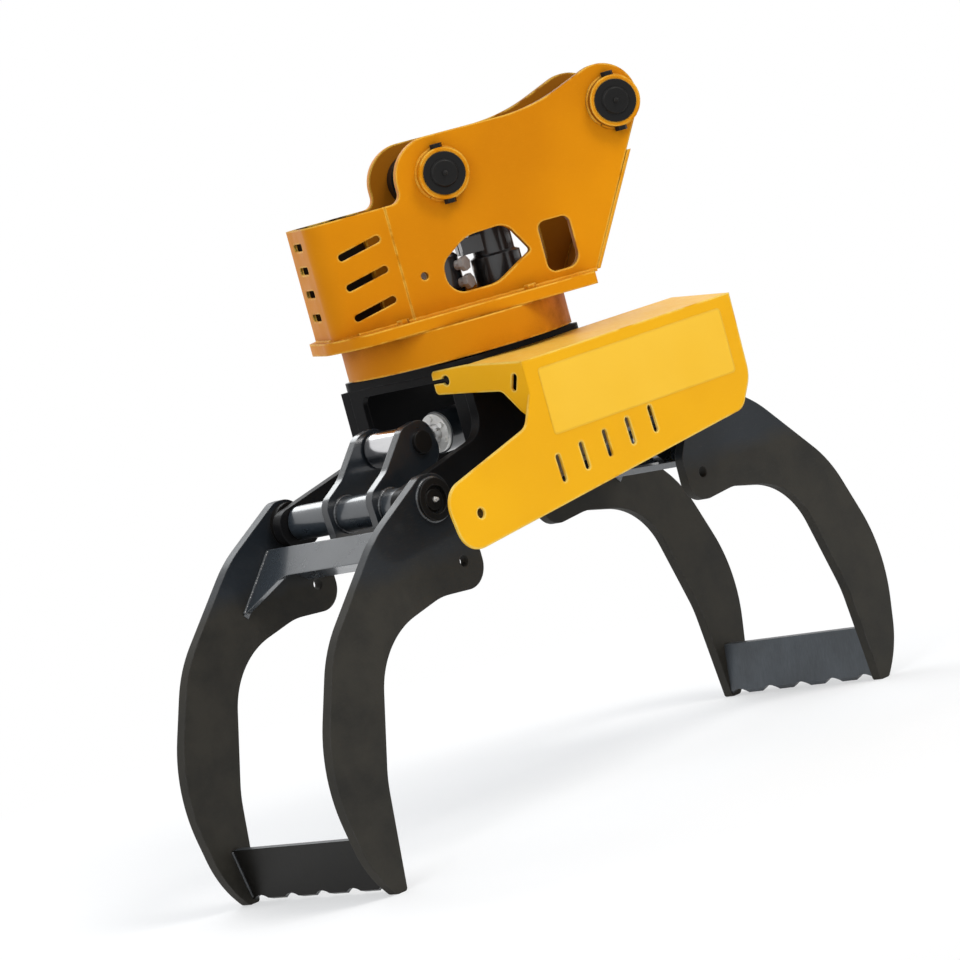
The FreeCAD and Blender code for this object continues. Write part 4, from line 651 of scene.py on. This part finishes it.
# Along the foot of the side plates and the nose cover, and round the pin collars
hitchWelds = {
    "plateFace": 0.131,  # outer face of the side plates from the middle
    "baseTop": -0.236,
    "crease": -0.116,  # where the nose cover begins
    "foot": 0.227,  # far end of the side plates
    "noseBend": (-0.217, 0.1175),  # where the nose cover's corner begins
    "noseEnd": (-0.2600, 0.068),  # end wall and half of its straight length
    "collarRadius": 0.0462,
}


def weldHitch(sizes):
    lines = []
    rings = []
    floor = sizes["baseTop"]
    bend, bendSide = sizes["noseBend"]
    for side in (-1, 1):
        face = sizes["plateFace"] * side
        crease = hitchPoint(sizes["crease"], face, floor)
        lines.append((crease, hitchPoint(sizes["foot"], face, floor)))
        lines.append((crease, hitchPoint(bend, bendSide * side, floor)))
        for u, z in (armPin, linkPin):
            rings.append((hitchPoint(u, face, z), hitchPoint(0, 1, 0), sizes["collarRadius"]))
    end, endHalf = sizes["noseEnd"]
    lines.append((hitchPoint(end, -endHalf, floor), hitchPoint(end, endHalf, floor)))
    addWelds("hitchWelds", "hitch", lines, rings, "hitchPaint")


weldHitch(hitchWelds)

# Round the hub tube and the collars, and down the ends of the cross plate and the blade
clawWelds = {
    "tubeRadius": 0.0314,
    "crankFaces": (-0.100, -0.084, 0.018, 0.034),  # faces of the two crank plates along the log
    "tineFace": 0.185,  # inner face of the tines
    "collarFace": 0.205,
    "collarRadius": 0.0372,
    # (reach, rise) from the pivot at both ends of a line
    "crossLine": ((-0.060, -0.032), (-0.150, -0.124)),
    "bladeLine": ((-0.318, -0.507), (-0.301, -0.594)),
}


def weldClaw(name, outward, sizes):
    # The left claw has outward -1, the right one is its mirror image
    def clawPoint(reach, y, rise):
        return grapplePoint(outward * (clawPivot[0] - reach), y, clawPivot[1] + rise)

    along = Vector((0, 1, 0))
    rings = [(clawPoint(0, y, 0), along, sizes["tubeRadius"]) for y in sizes["crankFaces"]]
    lines = []
    for side in (-1, 1):
        rings.append((clawPoint(0, sizes["collarFace"] * side, 0), along, sizes["collarRadius"]))
        for line in (sizes["crossLine"], sizes["bladeLine"]):
            lines.append([clawPoint(reach, sizes["tineFace"] * side, rise) for reach, rise in line])
    addWelds(name + "_welds", name, lines, rings, "glossBlack")


weldClaw("claw_left", -1, clawWelds)
weldClaw("claw_right", 1, clawWelds)
print("weld beads laid")


# Bare paler film on the face of the saw guard
guardFilm = {
    "left": -0.128, "right": 0.352, "top": -0.046, "foot": -0.166,
    "face": -0.312, "thickness": 0.0005, "sunk": 0.0001,  # a little of it lies in the guard
    "corner": 0.008, "cornerSteps": 6,
}


def addGuardFilm(sizes):
    sheet = bmesh.new()
    rim = []
    corner = sizes["corner"]
    left, right = sizes["left"] + corner, sizes["right"] - corner
    foot, top = sizes["foot"] + corner, sizes["top"] - corner
    for x, z, start in ((right, top, 0), (left, top, 90), (left, foot, 180), (right, foot, 270)):
        for step in range(sizes["cornerSteps"] + 1):
            angle = math.radians(start + 90 * step / sizes["cornerSteps"])
            rim.append((x + corner * math.cos(angle), z + corner * math.sin(angle)))
    front = [sheet.verts.new(grapplePoint(x, sizes["face"] - sizes["thickness"], z)) for x, z in rim]
    back = [sheet.verts.new(grapplePoint(x, sizes["face"] + sizes["sunk"], z)) for x, z in rim]
    sheet.faces.new(front)
    sheet.faces.new(back)
    for index in range(len(rim)):
        following = (index + 1) % len(rim)
        sheet.faces.new((front[index], front[following], back[following], back[index]))
    addPiece("guardFilm", sheet, "guardPanel", "frame")


addGuardFilm(guardFilm)
print("guard film laid")


# Grease nipples in both ends of the pins, turned from a profile of (radius, height)
greaseNipple = {
    "hitchEnd": 0.157, "clawEnd": 0.209,  # half lengths of the pins
    "profile": ((0.0, 0.0), (0.0046, 0.0), (0.0046, 0.0032), (0.0026, 0.0034), (0.0022, 0.0056),
                (0.0032, 0.0070), (0.0026, 0.0086), (0.0010, 0.0092), (0.0, 0.0092)),
    "facets": 18,
}


def turnProfile(sheet, foot, axis, profile, facets):
    across = axis.orthogonal().normalized()
    upward = axis.normalized().cross(across)
    rings = []
    for radius, height in profile:
        centre = foot + axis.normalized() * height
        if radius == 0.0:
            rings.append([sheet.verts.new(centre)])
            continue
        rings.append([
            sheet.verts.new(centre + across * (radius * math.cos(2 * math.pi * facet / facets))
                            + upward * (radius * math.sin(2 * math.pi * facet / facets)))
            for facet in range(facets)])
    for first, second in zip(rings, rings[1:]):
        for facet in range(facets):
            following = (facet + 1) % facets
            corners = [first[facet % len(first)], first[following % len(first)],
                       second[following % len(second)], second[facet % len(second)]]
            unique = list(dict.fromkeys(corners))
            if len(unique) > 2:
                sheet.faces.new(unique)


def addNipple(name, body, foot, axis, finish, sizes):
    sheet = bmesh.new()
    turnProfile(sheet, foot, axis, sizes["profile"], sizes["facets"])
    addPiece(name, sheet, finish, body)


def greasePins(sizes):
    ends = ((-1, "Front"), (1, "Rear"))
    for pin, (u, z) in (("arm_pin", armPin), ("link_pin", linkPin)):
        for side, end in ends:
            foot = hitchPoint(u, sizes["hitchEnd"] * side, z)
            addNipple(pin + "Nipple" + end, pin, foot, hitchPoint(0, side, 0), "pinBlack", sizes)
    for claw, outward in (("claw_left", -1), ("claw_right", 1)):
        for side, end in ends:
            foot = grapplePoint(outward * clawPivot[0], sizes["clawEnd"] * side, clawPivot[1])
            addNipple(claw + "Nipple" + end, claw, foot, Vector((0, side, 0)), "zincBolt", sizes)


greasePins(greaseNipple)
print("grease nipples set")


# Studio: pale floor, white surround and three soft lamps
studio = {
    "floorReach": 30.0, "floorColour": (0.99, 0.99, 0.99, 1), "floorRoughness": 0.9, "floorShine": 0.1,
    "fadeStart": 0.45, "fadeEnd": 2.4,  # where the floor's shadow begins to give way to plain white
    "worldColour": (0.93, 0.96, 1.0, 1), "worldLight": 0.62,
    "aim": (0, 0, -0.45),
    "lamps": [
        {"name": "keyLamp", "place": (0.4, -4.0, 4.4), "size": 2.2, "power": 165, "tint": (1.0, 0.98, 0.95)},
        {"name": "fillLamp", "place": (-4.2, -1.0, 2.6), "size": 3.2, "power": 62, "tint": (0.93, 0.97, 1.0)},
        {"name": "backLamp", "place": (1.2, 4.2, 3.4), "size": 3.0, "power": 100, "tint": (0.95, 0.98, 1.0)},
    ],
}


def seenDirectly(tree):
    # One for rays from the camera or off metal and glass, so that they meet a white surround
    path = addNode(tree, "ShaderNodeLightPath", (-700, 400))
    straight = addMath(tree, "MAXIMUM", (-500, 400), path.outputs["Is Camera Ray"],
                       path.outputs["Is Glossy Ray"])
    return addMath(tree, "MAXIMUM", (-300, 400), straight, path.outputs["Is Transmission Ray"])


def makeFloorPaper(settings):
    material, tree, shader = newMaterial("floorPaper")
    here = addNode(tree, "ShaderNodeNewGeometry", (-900, 0))
    away = addNode(tree, "ShaderNodeVectorMath", (-700, 0), operation="LENGTH")
    tree.links.new(here.outputs["Position"], away.inputs[0])
    fade = addSteps(tree, (-500, 0), away.outputs["Value"], settings["fadeStart"], settings["fadeEnd"])
    shader.inputs["Base Color"].default_value = settings["floorColour"]
    shader.inputs["Roughness"].default_value = settings["floorRoughness"]
    shader.inputs["Specular IOR Level"].default_value = settings["floorShine"]
    white = addNode(tree, "ShaderNodeEmission", (0, -300))
    seen = addMath(tree, "MULTIPLY", (-100, 200), fade, seenDirectly(tree))
    mix = addNode(tree, "ShaderNodeMixShader", (250, 0))
    tree.links.new(seen, mix.inputs[0])
    tree.links.new(shader.outputs[0], mix.inputs[1])
    tree.links.new(white.outputs[0], mix.inputs[2])
    tree.links.new(mix.outputs[0], tree.nodes["Material Output"].inputs["Surface"])
    return material


def layFloor(settings):
    sheet = bmesh.new()
    bmesh.ops.create_grid(sheet, x_segments=2, y_segments=2, size=settings["floorReach"])
    mesh = bpy.data.meshes.new("floor")
    sheet.to_mesh(mesh)
    sheet.free()
    mesh.materials.append(makeFloorPaper(settings))
    floor = bpy.data.objects.new("floor", mesh)
    floor.location.z = cadLow.z
    bpy.context.collection.objects.link(floor)


def makeSurround(settings):
    world = bpy.data.worlds.new("surround")
    bpy.context.scene.world = world
    world.use_nodes = True
    tree = world.node_tree
    background = tree.nodes["Background"]
    background.inputs["Color"].default_value = settings["worldColour"]
    background.inputs["Strength"].default_value = settings["worldLight"]
    white = addNode(tree, "ShaderNodeBackground", (0, -200))
    white.inputs["Color"].default_value = (1, 1, 1, 1)
    mix = addNode(tree, "ShaderNodeMixShader", (250, 0))
    tree.links.new(seenDirectly(tree), mix.inputs[0])
    tree.links.new(background.outputs[0], mix.inputs[1])
    tree.links.new(white.outputs[0], mix.inputs[2])
    tree.links.new(mix.outputs[0], tree.nodes["World Output"].inputs["Surface"])


def hangLamps(settings):
    for lamp in settings["lamps"]:
        light = bpy.data.lights.new(lamp["name"], "AREA")
        light.size = lamp["size"]
        light.energy = lamp["power"]
        light.color = lamp["tint"]
        item = bpy.data.objects.new(lamp["name"], light)
        item.location = lamp["place"]
        aim = Vector(settings["aim"]) - item.location
        item.rotation_euler = aim.to_track_quat("-Z", "Y").to_euler()
        bpy.context.collection.objects.link(item)


layFloor(studio)
makeSurround(studio)
hangLamps(studio)
print("studio built")
